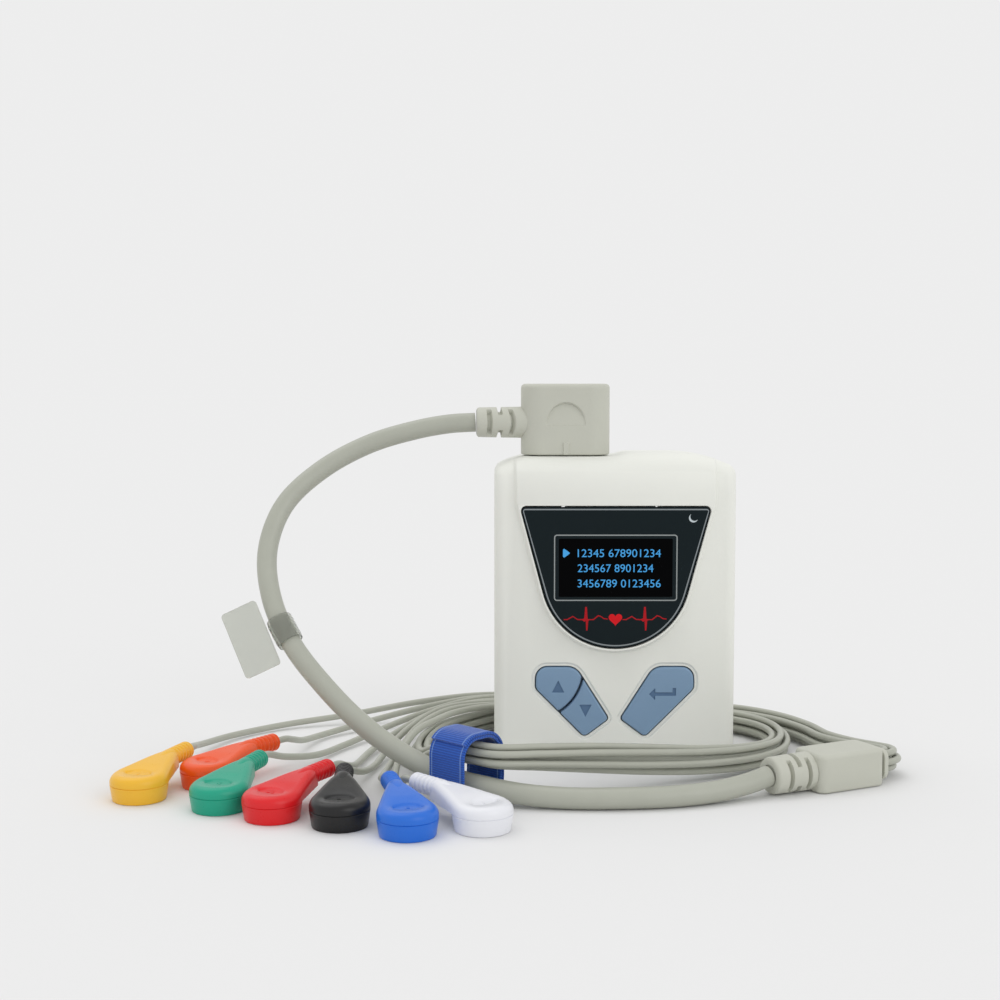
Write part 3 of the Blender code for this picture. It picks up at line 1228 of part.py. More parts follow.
def make_yoke():
    """Yoke block, its strain relief and the plate that the leads leave."""
    axis = yoke_axis()
    foot = Vector(YOKE_FOOT)
    profile = ring_profile(YOKE_BOOT_LENGTH, YOKE_BOOT_RADIUS, BOOT_RINGS, BOOT_RING_SHARE)
    boot = turned("yoke_boot", profile, foot, axis, BOOT_STEPS)
    dress(boot, "cable_grey")
    start = foot + axis * (YOKE_BOOT_LENGTH + GAP)
    frame = Matrix.Translation((start.x, start.y, 0.0)) @ Matrix.Rotation(
        math.radians(YOKE_HEADING), 4, "Z")
    block = slab("yoke_block", rectangle(YOKE_LENGTH, YOKE_DEPTH, YOKE_CORNER, YOKE_LENGTH / 2, 0.0),
                 YOKE_LOW_Z, YOKE_LOW_Z + YOKE_HEIGHT, YOKE_EDGE, 1, (), frame)
    dress(block, "cable_grey")
    plate_frame = frame @ Matrix.Translation((YOKE_LENGTH + GAP, 0.0, 0.0)) @ Matrix(
        ((0.0, 0.0, 1.0, 0.0), (1.0, 0.0, 0.0, 0.0), (0.0, 1.0, 0.0, 0.0), (0.0, 0.0, 0.0, 1.0)))
    comb = slab("lead_grommet", rectangle(YOKE_DEPTH - 2 * COMB_INSET, YOKE_HEIGHT - 2 * COMB_INSET,
                                          YOKE_CORNER, 0.0, YOKE_LOW_Z + YOKE_HEIGHT / 2),
                0.0, COMB_THICK, frame=plate_frame)
    dress(comb, "cable_grey")


def make_strap():
    """Ring of hook-and-loop tape round the trunk and the leads."""
    angle = math.radians(STRAP_HEADING)
    axis = Vector((math.cos(angle), math.sin(angle), 0.0))
    side = Vector((-axis.y, axis.x, 0.0))
    turn = Matrix((side, Vector((0.0, 0.0, 1.0)), axis)).transposed().to_4x4()
    frame = Matrix.Translation(STRAP_CENTRE) @ turn
    outer = rounded(strap_corners(0.0), STRAP_STEPS)
    inner = rounded(strap_corners(STRAP_THICK), STRAP_STEPS)
    ring = slab("cable_strap", outer, -STRAP_WIDTH / 2, STRAP_WIDTH / 2, holes=(inner,), frame=frame)
    dress(ring, "strap_blue")


def strap_corners(inset):
    a, b = STRAP_SPAN / 2 - inset, STRAP_HEIGHT / 2 - inset
    radius = STRAP_ROUND - inset
    return [(-a, -b, radius), (a, -b, radius), (a, b, radius), (-a, b, radius)]


# Leads and heads
def least_gap(lines):
    """Least gap between any two lines, from their points, with the names of the pair."""
    best = None
    names = list(lines)
    for i, first in enumerate(names):
        for second in names[i + 1:]:
            a, b = lines[first], lines[second]
            apart = np.linalg.norm(a[:, None, :] - b[None, :, :], axis=2).min()
            if best is None or apart < best[0]:
                best = (float(apart), first, second)
    return best


def make_leads():
    """Seven leads from the yoke, once and a half round the recorder, to their heads."""
    fine = {}
    for index, head in enumerate(HEADS):
        line = lead_line(head)
        points = lead_points(head)
        name = f"lead_{index + 1}_{head[0]}"
        dress(tube(name, points, LEAD_DIAMETER / 2, 2), "cord_grey")
        fine[name] = line[::2]
        print(name, "length", round(line_length(line), 4), "points", len(points),
              "lowest", round(float(line[:, 2].min()), 5))
    apart, first, second = least_gap(fine)
    print("least gap between leads", round(apart - LEAD_DIAMETER, 5), first, second)


def head_mesh():
    """One snap head about the origin, its tail along +X, with the pocket for its socket."""
    upper = HEAD_HEIGHT - HEAD_EDGE
    profile = [(0.0, 0.0), (0.0, HEAD_RADIUS), (upper, HEAD_RADIUS),
               (HEAD_HEIGHT - HEAD_EDGE / 3, HEAD_RADIUS - HEAD_EDGE / 3),
               (HEAD_HEIGHT, HEAD_RADIUS - HEAD_EDGE), (HEAD_HEIGHT, 0.0)]
    disc_body = turned("head_shape", profile, (0.0, 0.0, 0.0), (0.0, 0.0, 1.0), HEAD_STEPS)
    reach = TAIL_LENGTH * TAPER_TIP_SHARE
    swing = math.acos((HEAD_RADIUS - TAPER_TIP_RADIUS) / reach)
    taper = [(HEAD_RADIUS * math.cos(a), HEAD_RADIUS * math.sin(a))
             for a in np.linspace(swing, 2 * math.pi - swing, HEAD_STEPS // 2)]
    taper += [(reach + TAPER_TIP_RADIUS * math.cos(a), TAPER_TIP_RADIUS * math.sin(a))
              for a in np.linspace(-swing, swing, HEAD_STEPS // 5)]
    join(disc_body, tower("taper", taper, TAPER_LOW_Z, HEAD_HEIGHT - TAPER_DROP, HEAD_EDGE / 2, 0))
    neck = TAIL_LENGTH * TAIL_NECK_SHARE
    stations_along = [HEAD_RADIUS / 3, neck]
    radii = [TAIL_ROOT_RADIUS, TAIL_RADIUS]
    pitch = (TAIL_LENGTH - neck) / TAIL_RINGS
    for ring in range(TAIL_RINGS):
        base = neck + ring * pitch
        stations_along += [base + pitch / 3, base + 2 * pitch / 3]
        radii += [TAIL_RADIUS - TAIL_GROOVE, TAIL_RADIUS]
    stations_along.append(TAIL_LENGTH)
    radii.append(TAIL_RADIUS)
    points = []
    for along in stations_along:
        rise = min(along / neck, 1.0)
        points.append((along, 0.0, TAIL_ROOT_Z + (TAIL_Z - TAIL_ROOT_Z) * rise))
    join(disc_body, tube("tail", points, TAIL_RADIUS, 1, radii))
    cut(disc_body, rod("pocket", (0.0, 0.0, -OVERRUN), (0.0, 0.0, HEAD_POCKET_DEPTH), HEAD_POCKET_RADIUS,
                       SNAP_STEPS))
    mesh = disc_body.data
    as_cutter(disc_body)
    return mesh


def make_heads():
    """Seven snap heads that share one shape, and the metal sockets in their undersides."""
    shape = head_mesh()
    for index, head in enumerate(HEADS):
        centre, _, _ = head_tail(head)
        name = f"snap_head_{index + 1}_{head[0]}"
        obj = link(name, shape.copy())
        obj.location = centre
        obj.rotation_euler = (0.0, 0.0, math.radians(head[4]))
        obj.data.materials.clear()
        obj.data.materials.append(finish_material("head_" + head[0], head[1], 0.38))
        obj.data.shade_smooth()
        obj.data.set_sharp_from_angle(angle=math.radians(35))
        thick = SNAP_HIGH_Z - SNAP_LOW_Z
        profile = [(0.0, SNAP_BORE), (0.0, SNAP_RADIUS), (thick, SNAP_NECK_RADIUS), (thick, SNAP_BORE),
                   (0.0, SNAP_BORE)]
        snap = turned(f"snap_socket_{index + 1}", profile, centre + Vector((0.0, 0.0, SNAP_LOW_Z)),
                      (0.0, 0.0, 1.0), SNAP_STEPS)
        dress(snap, "steel")


start()
make_case()
make_seal()
make_screws()
make_display()
make_keys()
make_key_mat()
make_board()
make_batteries()
make_door()
make_socket()
make_plug()
make_trunk()
make_yoke()
make_strap()
make_leads()
make_heads()
total = 0
for part in sorted(PARTS.objects, key=lambda o: o.name):
    count = sum(len(face.vertices) - 2 for face in part.data.polygons)
    print(part.name, count)
    total += count
print("objects", len(PARTS.objects), "triangles", total)
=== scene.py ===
# %% [markdown]
# # A pocket heart recorder and its seven leads
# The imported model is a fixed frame: it says where every part is and what moves. This lesson
# dresses it. Surfaces are functions of two numbers worked out with numpy, and each finish is a
# small node tree.

# %% Load the frame
import math

import bmesh
import bpy
import numpy as np
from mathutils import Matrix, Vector
from mathutils.geometry import delaunay_2d_cdt


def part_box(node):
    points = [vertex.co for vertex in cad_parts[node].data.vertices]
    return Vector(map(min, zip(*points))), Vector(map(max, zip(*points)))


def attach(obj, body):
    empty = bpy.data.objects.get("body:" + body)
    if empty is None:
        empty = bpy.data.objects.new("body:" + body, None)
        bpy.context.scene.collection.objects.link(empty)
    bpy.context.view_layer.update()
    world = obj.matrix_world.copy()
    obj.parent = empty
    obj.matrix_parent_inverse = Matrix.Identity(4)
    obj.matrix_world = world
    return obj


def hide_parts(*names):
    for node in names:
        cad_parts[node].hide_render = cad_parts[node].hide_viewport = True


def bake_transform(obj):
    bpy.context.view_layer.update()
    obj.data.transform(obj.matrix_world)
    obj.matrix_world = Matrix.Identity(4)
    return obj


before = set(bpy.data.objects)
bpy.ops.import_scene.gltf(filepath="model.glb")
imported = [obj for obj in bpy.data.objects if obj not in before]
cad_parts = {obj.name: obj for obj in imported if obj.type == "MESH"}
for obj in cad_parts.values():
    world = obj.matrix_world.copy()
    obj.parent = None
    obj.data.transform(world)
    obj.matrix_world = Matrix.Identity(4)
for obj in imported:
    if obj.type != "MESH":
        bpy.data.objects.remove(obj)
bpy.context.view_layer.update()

ROOT = "recorder"

# %% [markdown]
# ## Camera
# The photograph looks slightly down at the recorder's front from less than half a metre. A
# pinhole camera with the same height, tilt and angle of view puts every part in the same place.

# %% Camera
CAMERA_PLACE = (-0.0298, -0.412, 0.100)
CAMERA_TILT = 4.68
CAMERA_LENS = 56.34
CAMERA_SENSOR = 36.0


def make_camera():
    """A level camera turned down by its tilt."""
    data = bpy.data.cameras.new("camera")
    data.lens = CAMERA_LENS
    data.sensor_width = CAMERA_SENSOR
    camera = bpy.data.objects.new("camera", data)
    camera.location = CAMERA_PLACE
    camera.rotation_euler = (math.radians(90 - CAMERA_TILT), 0.0, 0.0)
    bpy.context.scene.collection.objects.link(camera)
    bpy.context.scene.camera = camera


make_camera()

# %% [markdown]
# Most surfaces here are grids: an array of points with rows and columns, turned into quads.
# The one helper below does that for every sheet, tube and turned shape in the file.

# %% Grid meshes


def unit(v):
    """Vectors along the last axis, each divided by its length."""
    return v / np.maximum(np.linalg.norm(v, axis=-1, keepdims=True), 1e-12)


def smooth_step(t):
    """3 t^2 - 2 t^3 between 0 and 1, flat outside."""
    t = np.clip(t, 0.0, 1.0)
    return t * t * (3 - 2 * t)


def grid_faces(rows, columns, wrap=True, close=False, start=0):
    """Quads between the rows of a grid; wrap joins the last column to the first, and close the
    last row to the first."""
    i = np.arange(rows if close else rows - 1)[:, None]
    j = np.arange(columns if wrap else columns - 1)[None, :]
    below = i * columns
    above = (i + 1) % rows * columns
    right = (j + 1) % columns
    quads = np.stack([below + j, below + right, above + right, above + j], axis=-1)
    return quads.reshape(-1, 4) + start


def build(name, points, faces, merge=1e-7, recalc=True, sharp=35.0):
    """Make a mesh object from points and faces, merge doubles and smooth all but sharp edges."""
    mesh = bpy.data.meshes.new(name)
    mesh.from_pydata(np.asarray(points, float).tolist(), [], [list(map(int, f)) for f in faces])
    work = bmesh.new()
    work.from_mesh(mesh)
    if merge:
        bmesh.ops.remove_doubles(work, verts=work.verts, dist=merge)
    bmesh.ops.dissolve_degenerate(work, edges=work.edges, dist=merge or 1e-9)
    if recalc:
        bmesh.ops.recalc_face_normals(work, faces=work.faces)
    work.to_mesh(mesh)
    work.free()
    mesh.shade_smooth()
    mesh.set_sharp_from_angle(angle=math.radians(sharp))
    piece = bpy.data.objects.new(name, mesh)
    bpy.context.scene.collection.objects.link(piece)
    return piece


def join_arrays(*shells):
    """Put several (points, faces) shells into one pair of lists."""
    points, faces, start = [], [], 0
    for shell_points, shell_faces in shells:
        points.append(np.asarray(shell_points, float).reshape(-1, 3))
        faces += [[int(v) + start for v in face] for face in shell_faces]
        start += len(points[-1])
    return np.vstack(points), faces


def capped(points, rows, columns):
    """Faces of a tube grid closed by a polygon at each end."""
    faces = [list(f) for f in grid_faces(rows, columns)]
    faces.append(list(range(columns - 1, -1, -1)))
    faces.append(list(range((rows - 1) * columns, rows * columns)))
    return points, faces


def turned(profile, steps):
    """Turn (radius, height) pairs about Z: (r cos a, r sin a, h)."""
    profile = np.asarray(profile, float)
    angle = np.linspace(0.0, 2 * math.pi, steps, endpoint=False)
    r, h = profile[:, 0][:, None], profile[:, 1][:, None]
    points = np.stack([r * np.cos(angle), r * np.sin(angle), h + 0 * angle], axis=-1)
    return points.reshape(-1, 3), [list(f) for f in grid_faces(len(profile), steps)]


# %% [markdown]
# ## Cords
# The trunk cord is a real 0.23 m from plug to yoke, and each lead about half a metre. Their
# routes are lists of given points, and a centripetal Catmull-Rom curve runs through
# them, because straight runs and arcs would look like bent wire.

# %% Smooth routes
PER_POINT = 12


def smooth(points, per=PER_POINT):
    """Centripetal Catmull-Rom curve: between two points, three rounds of linear blends whose
    knots are the square roots of the distances."""
    p = np.array(points, float)
    p = np.vstack([2 * p[0] - p[1], p, 2 * p[-1] - p[-2]])
    knot = np.concatenate([[0.0], np.cumsum(np.linalg.norm(np.diff(p[:, :3], axis=0), axis=1) ** 0.5)])
    rows = []
    for i in range(1, len(p) - 2):
        t0, t1, t2, t3 = knot[i - 1:i + 3]
        s = np.linspace(t1, t2, per, endpoint=False)[:, None]
        a1 = (t1 - s) / (t1 - t0) * p[i - 1] + (s - t0) / (t1 - t0) * p[i]
        a2 = (t2 - s) / (t2 - t1) * p[i] + (s - t1) / (t2 - t1) * p[i + 1]
        a3 = (t3 - s) / (t3 - t2) * p[i + 1] + (s - t2) / (t3 - t2) * p[i + 2]
        b1 = (t2 - s) / (t2 - t0) * a1 + (s - t0) / (t2 - t0) * a2
        b2 = (t3 - s) / (t3 - t1) * a2 + (s - t1) / (t3 - t1) * a3
        rows.append((t2 - s) / (t2 - t1) * b1 + (s - t1) / (t2 - t1) * b2)
    rows.append(p[-2:-1])
    return np.vstack(rows)


def length_of(line):
    """Sum of the straight steps from point to point."""
    return float(np.linalg.norm(np.diff(line[:, :3], axis=0), axis=1).sum())


def run_along(line):
    """How far each point lies along a line."""
    return np.concatenate([[0.0], np.cumsum(np.linalg.norm(np.diff(line, axis=0), axis=1))])


def tube_shell(line, radius, sides):
    """Tube about a line: centre + r (side cos a + up sin a), with side level and up square to
    it. The radius is one number or one for each point."""
    ahead = unit(np.gradient(line, axis=0))
    side = unit(np.cross(ahead, (0.0, 0.0, 1.0)))
    up = np.cross(side, ahead)
    angle = np.linspace(0.0, 2 * math.pi, sides, endpoint=False)
    r = np.broadcast_to(np.asarray(radius, float), len(line))[:, None, None]
    ring = side[:, None] * np.cos(angle)[:, None] + up[:, None] * np.sin(angle)[:, None]
    points = line[:, None] + r * ring
    return capped(points.reshape(-1, 3), len(line), sides)


# %% Trunk cord
TRUNK_DIAMETER = 0.0050
TRUNK_ROUTE = [
    (-0.0363, 0.0000, 0.0868), (-0.0430, -0.0004, 0.0864), (-0.0520, -0.0013, 0.0848),
    (-0.0640, -0.0031, 0.0812), (-0.0760, -0.0070, 0.0747), (-0.0850, -0.0125, 0.0660),
    (-0.0885, -0.0190, 0.0550), (-0.0865, -0.0260, 0.0435), (-0.0805, -0.0325, 0.0330),
    (-0.0720, -0.0380, 0.0238), (-0.0635, -0.0425, 0.0164), (-0.0555, -0.0455, 0.0110),
    (-0.0480, -0.0485, 0.0074), (-0.0410, -0.0522, 0.0052), (-0.0340, -0.0562, 0.0044),
    (-0.0250, -0.0586, 0.0032), (-0.0140, -0.0600, 0.0026), (-0.0010, -0.0600, 0.0026),
    (0.0110, -0.0582, 0.0026), (0.0210, -0.0549, 0.0029), (0.0285, -0.0512, 0.0037),
    (0.0336, -0.0484, 0.0047),
]
trunk_line = smooth(TRUNK_ROUTE)
trunk = build("trunk_cord_jacket", *tube_shell(trunk_line, TRUNK_DIAMETER / 2, 28))
print("trunk cord", round(length_of(trunk_line), 4), "m")

# %% [markdown]
# The leads lie in a round bundle, one in the middle and six about it. The bundle's route
# carries two more numbers at each point: how far the six stand from the middle, and their
# twist. A lead follows its place in the bundle and then its own points to its head. Each head
# has its colour's name, its disc's x and y, the heading of its tail in degrees, its lead's place
# in the bundle and the lead's own points.

# %% Bundle and heads
LEAD_DIAMETER = 0.0017
BUNDLE_ROUTE = [
    (0.06330, -0.03320, 0.0046, 0.00215, 0),
    (0.06520, -0.03215, 0.0046, 0.00215, 0),
    (0.06680, -0.02970, 0.0045, 0.00215, 0),
    (0.06690, -0.02620, 0.0042, 0.00215, 0),
    (0.06510, -0.02230, 0.0038, 0.00215, 0),
    (0.06050, -0.01640, 0.0034, 0.00220, 5),
    (0.05560, -0.00880, 0.0033, 0.00225, 10),
    (0.05270, 0.00200, 0.0033, 0.00230, 15),
    (0.04700, 0.01350, 0.0033, 0.00230, 20),
    (0.03800, 0.02250, 0.0033, 0.00230, 25),
    (0.02600, 0.02780, 0.0033, 0.00225, 30),
    (0.01000, 0.03000, 0.0032, 0.00220, 35),
    (-0.00800, 0.02950, 0.0032, 0.00215, 40),
    (-0.02400, 0.02500, 0.0032, 0.00215, 45),
    (-0.03650, 0.01600, 0.0032, 0.00215, 50),
    (-0.04500, 0.00400, 0.0032, 0.00215, 55),
    (-0.04900, -0.01000, 0.0032, 0.00220, 60),
    (-0.04950, -0.02300, 0.0036, 0.00220, 65),
    (-0.04770, -0.03400, 0.0052, 0.00220, 70),
    (-0.04370, -0.04330, 0.0090, 0.00215, 75),
    (-0.03800, -0.05120, 0.0114, 0.00215, 80),
    (-0.03060, -0.05580, 0.0113, 0.00215, 85),
    (-0.02050, -0.05200, 0.0102, 0.00240, 90),
    (-0.00800, -0.04640, 0.0086, 0.00275, 98),
    (0.00600, -0.04060, 0.0068, 0.00290, 106),
    (0.01900, -0.03500, 0.0053, 0.00280, 114),
    (0.03100, -0.02800, 0.0043, 0.00260, 122),
    (0.03980, -0.01820, 0.0037, 0.00240, 130),
    (0.04350, -0.00600, 0.0034, 0.00230, 138),
    (0.04230, 0.00550, 0.0033, 0.00225, 144),
    (0.03630, 0.01480, 0.0033, 0.00225, 150),
    (0.02600, 0.02000, 0.0034, 0.00225, 150),
    (0.01250, 0.02140, 0.0034, 0.00225, 150),
    (-0.00050, 0.02120, 0.0046, 0.00225, 150),
]
HEADS = [
    ("yellow", -0.1145, -0.0512, 72.5, 1, [
        (-0.0090, 0.0262, 0.0071), (-0.0190, 0.0278, 0.0080), (-0.0355, 0.0290, 0.0080),
        (-0.0530, 0.0300, 0.0058), (-0.0730, 0.0275, 0.0026), (-0.0900, 0.0205, 0.0014),
        (-0.1025, 0.0075, 0.0014), (-0.1080, -0.0075, 0.0026), (-0.1082, -0.0200, 0.0050)]),
    ("orange", -0.1005, -0.0393, 53.8, 6, [
        (-0.0090, 0.0246, 0.0049), (-0.0190, 0.0255, 0.0076), (-0.0356, 0.0263, 0.0078),
        (-0.0520, 0.0250, 0.0052), (-0.0680, 0.0190, 0.0022), (-0.0780, 0.0085, 0.0014),
        (-0.0820, -0.0030, 0.0026), (-0.0835, -0.0125, 0.0050)]),
    ("green", -0.0942, -0.0598, 74.3, 2, [
        (-0.0090, 0.0227, 0.0084), (-0.0190, 0.0232, 0.0084), (-0.0356, 0.0236, 0.0081),
        (-0.0505, 0.0193, 0.0052), (-0.0630, 0.0100, 0.0022), (-0.0710, -0.0030, 0.0013),
        (-0.0770, -0.0160, 0.0018), (-0.0835, -0.0275, 0.0042)]),
    ("red", -0.0810, -0.0672, 62.6, 0, [
        (-0.0090, 0.0211, 0.0066), (-0.0190, 0.0210, 0.0078), (-0.0354, 0.0208, 0.0078),
        (-0.0488, 0.0146, 0.0058), (-0.0590, 0.0030, 0.0024), (-0.0640, -0.0120, 0.0013),
        (-0.0660, -0.0260, 0.0018), (-0.0672, -0.0370, 0.0044)]),
    ("black", -0.0652, -0.0730, 92.9, 5, [
        (-0.0090, 0.0194, 0.0049), (-0.0190, 0.0186, 0.0076), (-0.0348, 0.0181, 0.0081),
        (-0.0464, 0.0100, 0.0079), (-0.0545, -0.0010, 0.0050), (-0.0592, -0.0130, 0.0021),
        (-0.0614, -0.0250, 0.0013), (-0.0634, -0.0350, 0.0024), (-0.0657, -0.0435, 0.0050)]),
    ("blue", -0.0498, -0.0800, 103.9, 3, [
        (-0.0090, 0.0178, 0.0076), (-0.0190, 0.0163, 0.0080), (-0.0338, 0.0155, 0.0080),
        (-0.0444, 0.0064, 0.0084), (-0.0517, -0.0060, 0.0066), (-0.0558, -0.0180, 0.0030),
        (-0.0580, -0.0300, 0.0014), (-0.0584, -0.0410, 0.0024), (-0.0572, -0.0505, 0.0050)]),
    ("white", -0.0336, -0.0761, 133.2, 4, [
        (-0.0090, 0.0163, 0.0055), (-0.0190, 0.0140, 0.0077), (-0.0325, 0.0131, 0.0081),
        (-0.0414, 0.0040, 0.0086), (-0.0468, -0.0070, 0.0088), (-0.0515, -0.0170, 0.0080),
        (-0.0548, -0.0270, 0.0044), (-0.0553, -0.0380, 0.0018), (-0.0542, -0.0475, 0.0028),
        (-0.0523, -0.0542, 0.0050)]),
]
TAIL_LENGTH = 0.0230
TAIL_Z = 0.0064
CORD_GAP = 0.0003
STRAND_TURN = 60.0
FIRST_STRAND = -30.0


def strand_offset(place, spread, twist):
    """How far a strand stands across and above the middle: s cos(a) and s sin(a), where the
    middle strand has no spread."""
    angle = np.radians(STRAND_TURN * place + FIRST_STRAND + twist - BUNDLE_ROUTE[-1][4])
    spread = spread * (place > 0)
    return spread * np.cos(angle), spread * np.sin(angle)


def bundle_strand(place):
    """A strand's line: the bundle's line moved across and up by the strand's offset."""
    line = smooth(BUNDLE_ROUTE)
    heading = unit(np.gradient(line[:, :2], axis=0))
    left = np.stack([-heading[:, 1], heading[:, 0]], axis=1)
    across, up = strand_offset(place, line[:, 3], line[:, 4])
    return np.column_stack([line[:, :2] - across[:, None] * left, line[:, 2] + up])


def lead_line(head):
    """A lead's line through the bundle, then along its own points and straight into its tail."""
    _, x, y, degrees, place, own_points = head
    strand = bundle_strand(place)
    heading = np.array([math.cos(math.radians(degrees)), math.sin(math.radians(degrees)), 0.0])
    end = np.array([x, y, TAIL_Z]) + heading * (TAIL_LENGTH + CORD_GAP)
    into = end + heading * 2 * LEAD_DIAMETER
    bundle_end = [tuple(strand[-1 - back * PER_POINT]) for back in (2, 1, 0)]
    own = smooth(bundle_end + own_points + [tuple(into), tuple(end)])
    return np.vstack([strand[:-PER_POINT], own[PER_POINT + 1:]])


lead_lines = [lead_line(head) for head in HEADS]
leads = [build(f"lead_{i + 1}_jacket", *tube_shell(line, LEAD_DIAMETER / 2, 14))
         for i, line in enumerate(lead_lines)]
print("leads", [round(length_of(line), 4) for line in lead_lines])

# %% [markdown]
# ## Outlines and relief plates
# The shells, keys and panes are flat plates with rounded rims, steps and dishes. Each is drawn
# as outlines in the plane of the front. Between the outlines the plate is filled with
# triangles, and a height formula then pushes every point in or out.

# %% Outline helpers


def loop_of(corners, steps=8):
    """Closed outline through corners (u, v, radius): each arc's centre lies on the corner's
    bisector, radius / sin(half the angle) from the corner."""
    c = np.array(corners, float)
    here, r = c[:, :2], c[:, 2:3]
    before = unit(np.roll(here, 1, 0) - here)
    after = unit(np.roll(here, -1, 0) - here)
    half = np.arccos(np.clip((before * after).sum(1), -1.0, 1.0))[:, None] / 2
    centre = here + unit(before + after) * r / np.sin(half)
    start = here + before * r / np.tan(half) - centre
    end = here + after * r / np.tan(half) - centre
    t = np.linspace(0.0, 1.0, steps + 1)[None, :, None]
    sweep = np.maximum((math.pi - 2 * half)[:, None], 1e-6)
    arc = (np.sin((1 - t) * sweep) * start[:, None] + np.sin(t * sweep) * end[:, None]) / np.sin(sweep)
    return without_doubles((centre[:, None] + arc).reshape(-1, 2))


def without_doubles(loop, least=1e-6):
    """Leave out points that lie on the one before."""
    return loop[np.linalg.norm(loop - np.roll(loop, 1, 0), axis=1) > least]


def oblong(width, height, radius, u=0.0, v=0.0, steps=8):
    """Rounded rectangle about (u, v)."""
    a, b = width / 2, height / 2
    return loop_of([(u - a, v - b, radius), (u + a, v - b, radius),
                    (u + a, v + b, radius), (u - a, v + b, radius)], steps)


def evenly(loop, step):
    """The same closed outline with points at even steps along it."""
    closed = np.vstack([loop, loop[:1]])
    run = run_along(closed)
    s = np.linspace(0.0, run[-1], max(int(run[-1] / step), 8), endpoint=False)
    return np.column_stack([np.interp(s, run, closed[:, k]) for k in (0, 1)])


def outline_normals(loop):
    """Outward normals of a closed outline, from the chord between each point's neighbours."""
    along = unit(np.roll(loop, -1, 0) - np.roll(loop, 1, 0))
    area = np.sum(loop[:, 0] * np.roll(loop[:, 1], -1) - np.roll(loop[:, 0], -1) * loop[:, 1])
    return np.column_stack([along[:, 1], -along[:, 0]]) * np.sign(area)


def grown(loop, margin):
    """Each point moved out along the outline's normal."""
    return loop + outline_normals(loop) * margin


def depth_inside(points, loop):
    """Least distance to a closed outline's edges, positive inside by the count of crossings."""
    a, b = loop, np.roll(loop, -1, 0)
    ab = b - a
    out = np.empty(len(points))
    for chunk in np.array_split(np.arange(len(points)), 1 + len(points) * len(loop) // 3_000_000):
        p = points[chunk][:, None]
        t = np.clip(((p - a) * ab).sum(-1) / (ab * ab).sum(-1), 0.0, 1.0)
        least = np.linalg.norm(p - a - t[..., None] * ab, axis=-1).min(1)
        crosses = (a[:, 1] > p[..., 1]) != (b[:, 1] > p[..., 1])
        rise = np.where(ab[:, 1] == 0.0, 1e-18, ab[:, 1])
        at = a[:, 0] + ab[:, 0] * (p[..., 1] - a[:, 1]) / rise
        inside = (crosses & (p[..., 0] < at)).sum(1) % 2 == 1
        out[chunk] = np.where(inside, least, -least)
    return out


# %% Relief plates
PLANE_SCALE = 1000.0


def fill(outer, holes=(), closed_lines=(), open_lines=()):
    """Triangles inside an outline and outside its holes, with every guide line kept as edges."""
    runs = [(loop, True) for loop in (outer, *holes, *closed_lines)]
    runs += [(line, False) for line in open_lines]
    points, edges, start = [], [], 0
    for line, closed in runs:
        n = len(line)
        i = np.arange(n if closed else n - 1)
        edges.append(np.column_stack([i, (i + 1) % n]) + start)
        points.append(line)
        start += n
    flat = np.vstack(points) * PLANE_SCALE
    made = delaunay_2d_cdt([Vector(p) for p in flat], np.vstack(edges).tolist(), [], 0, 1e-5)
    plane = np.array([tuple(p) for p in made[0]]) / PLANE_SCALE
    triangles = np.array([f for f in made[2] if len(f) == 3])
    middle = plane[triangles].mean(1)
    keep = depth_inside(middle, outer) > 0
    for hole in holes:
        keep &= depth_inside(middle, hole) < 0
    triangles = triangles[keep]
    a, b, c = (plane[triangles[:, k]] for k in range(3))
    turn = (b - a)[:, 0] * (c - a)[:, 1] - (b - a)[:, 1] * (c - a)[:, 0]
    triangles[turn < 0] = triangles[turn < 0][:, ::-1]
    used, triangles = np.unique(triangles[np.abs(turn) > 1e-16], return_inverse=True)
    return plane[used], triangles.reshape(-1, 3)


def rims(triangles):
    """Directed edges that only one triangle has."""
    edges = np.vstack([triangles[:, [0, 1]], triangles[:, [1, 2]], triangles[:, [2, 0]]])
    span = edges.max() + 1
    key, back = edges[:, 0] * span + edges[:, 1], edges[:, 1] * span + edges[:, 0]
    return edges[~np.isin(key, back)]


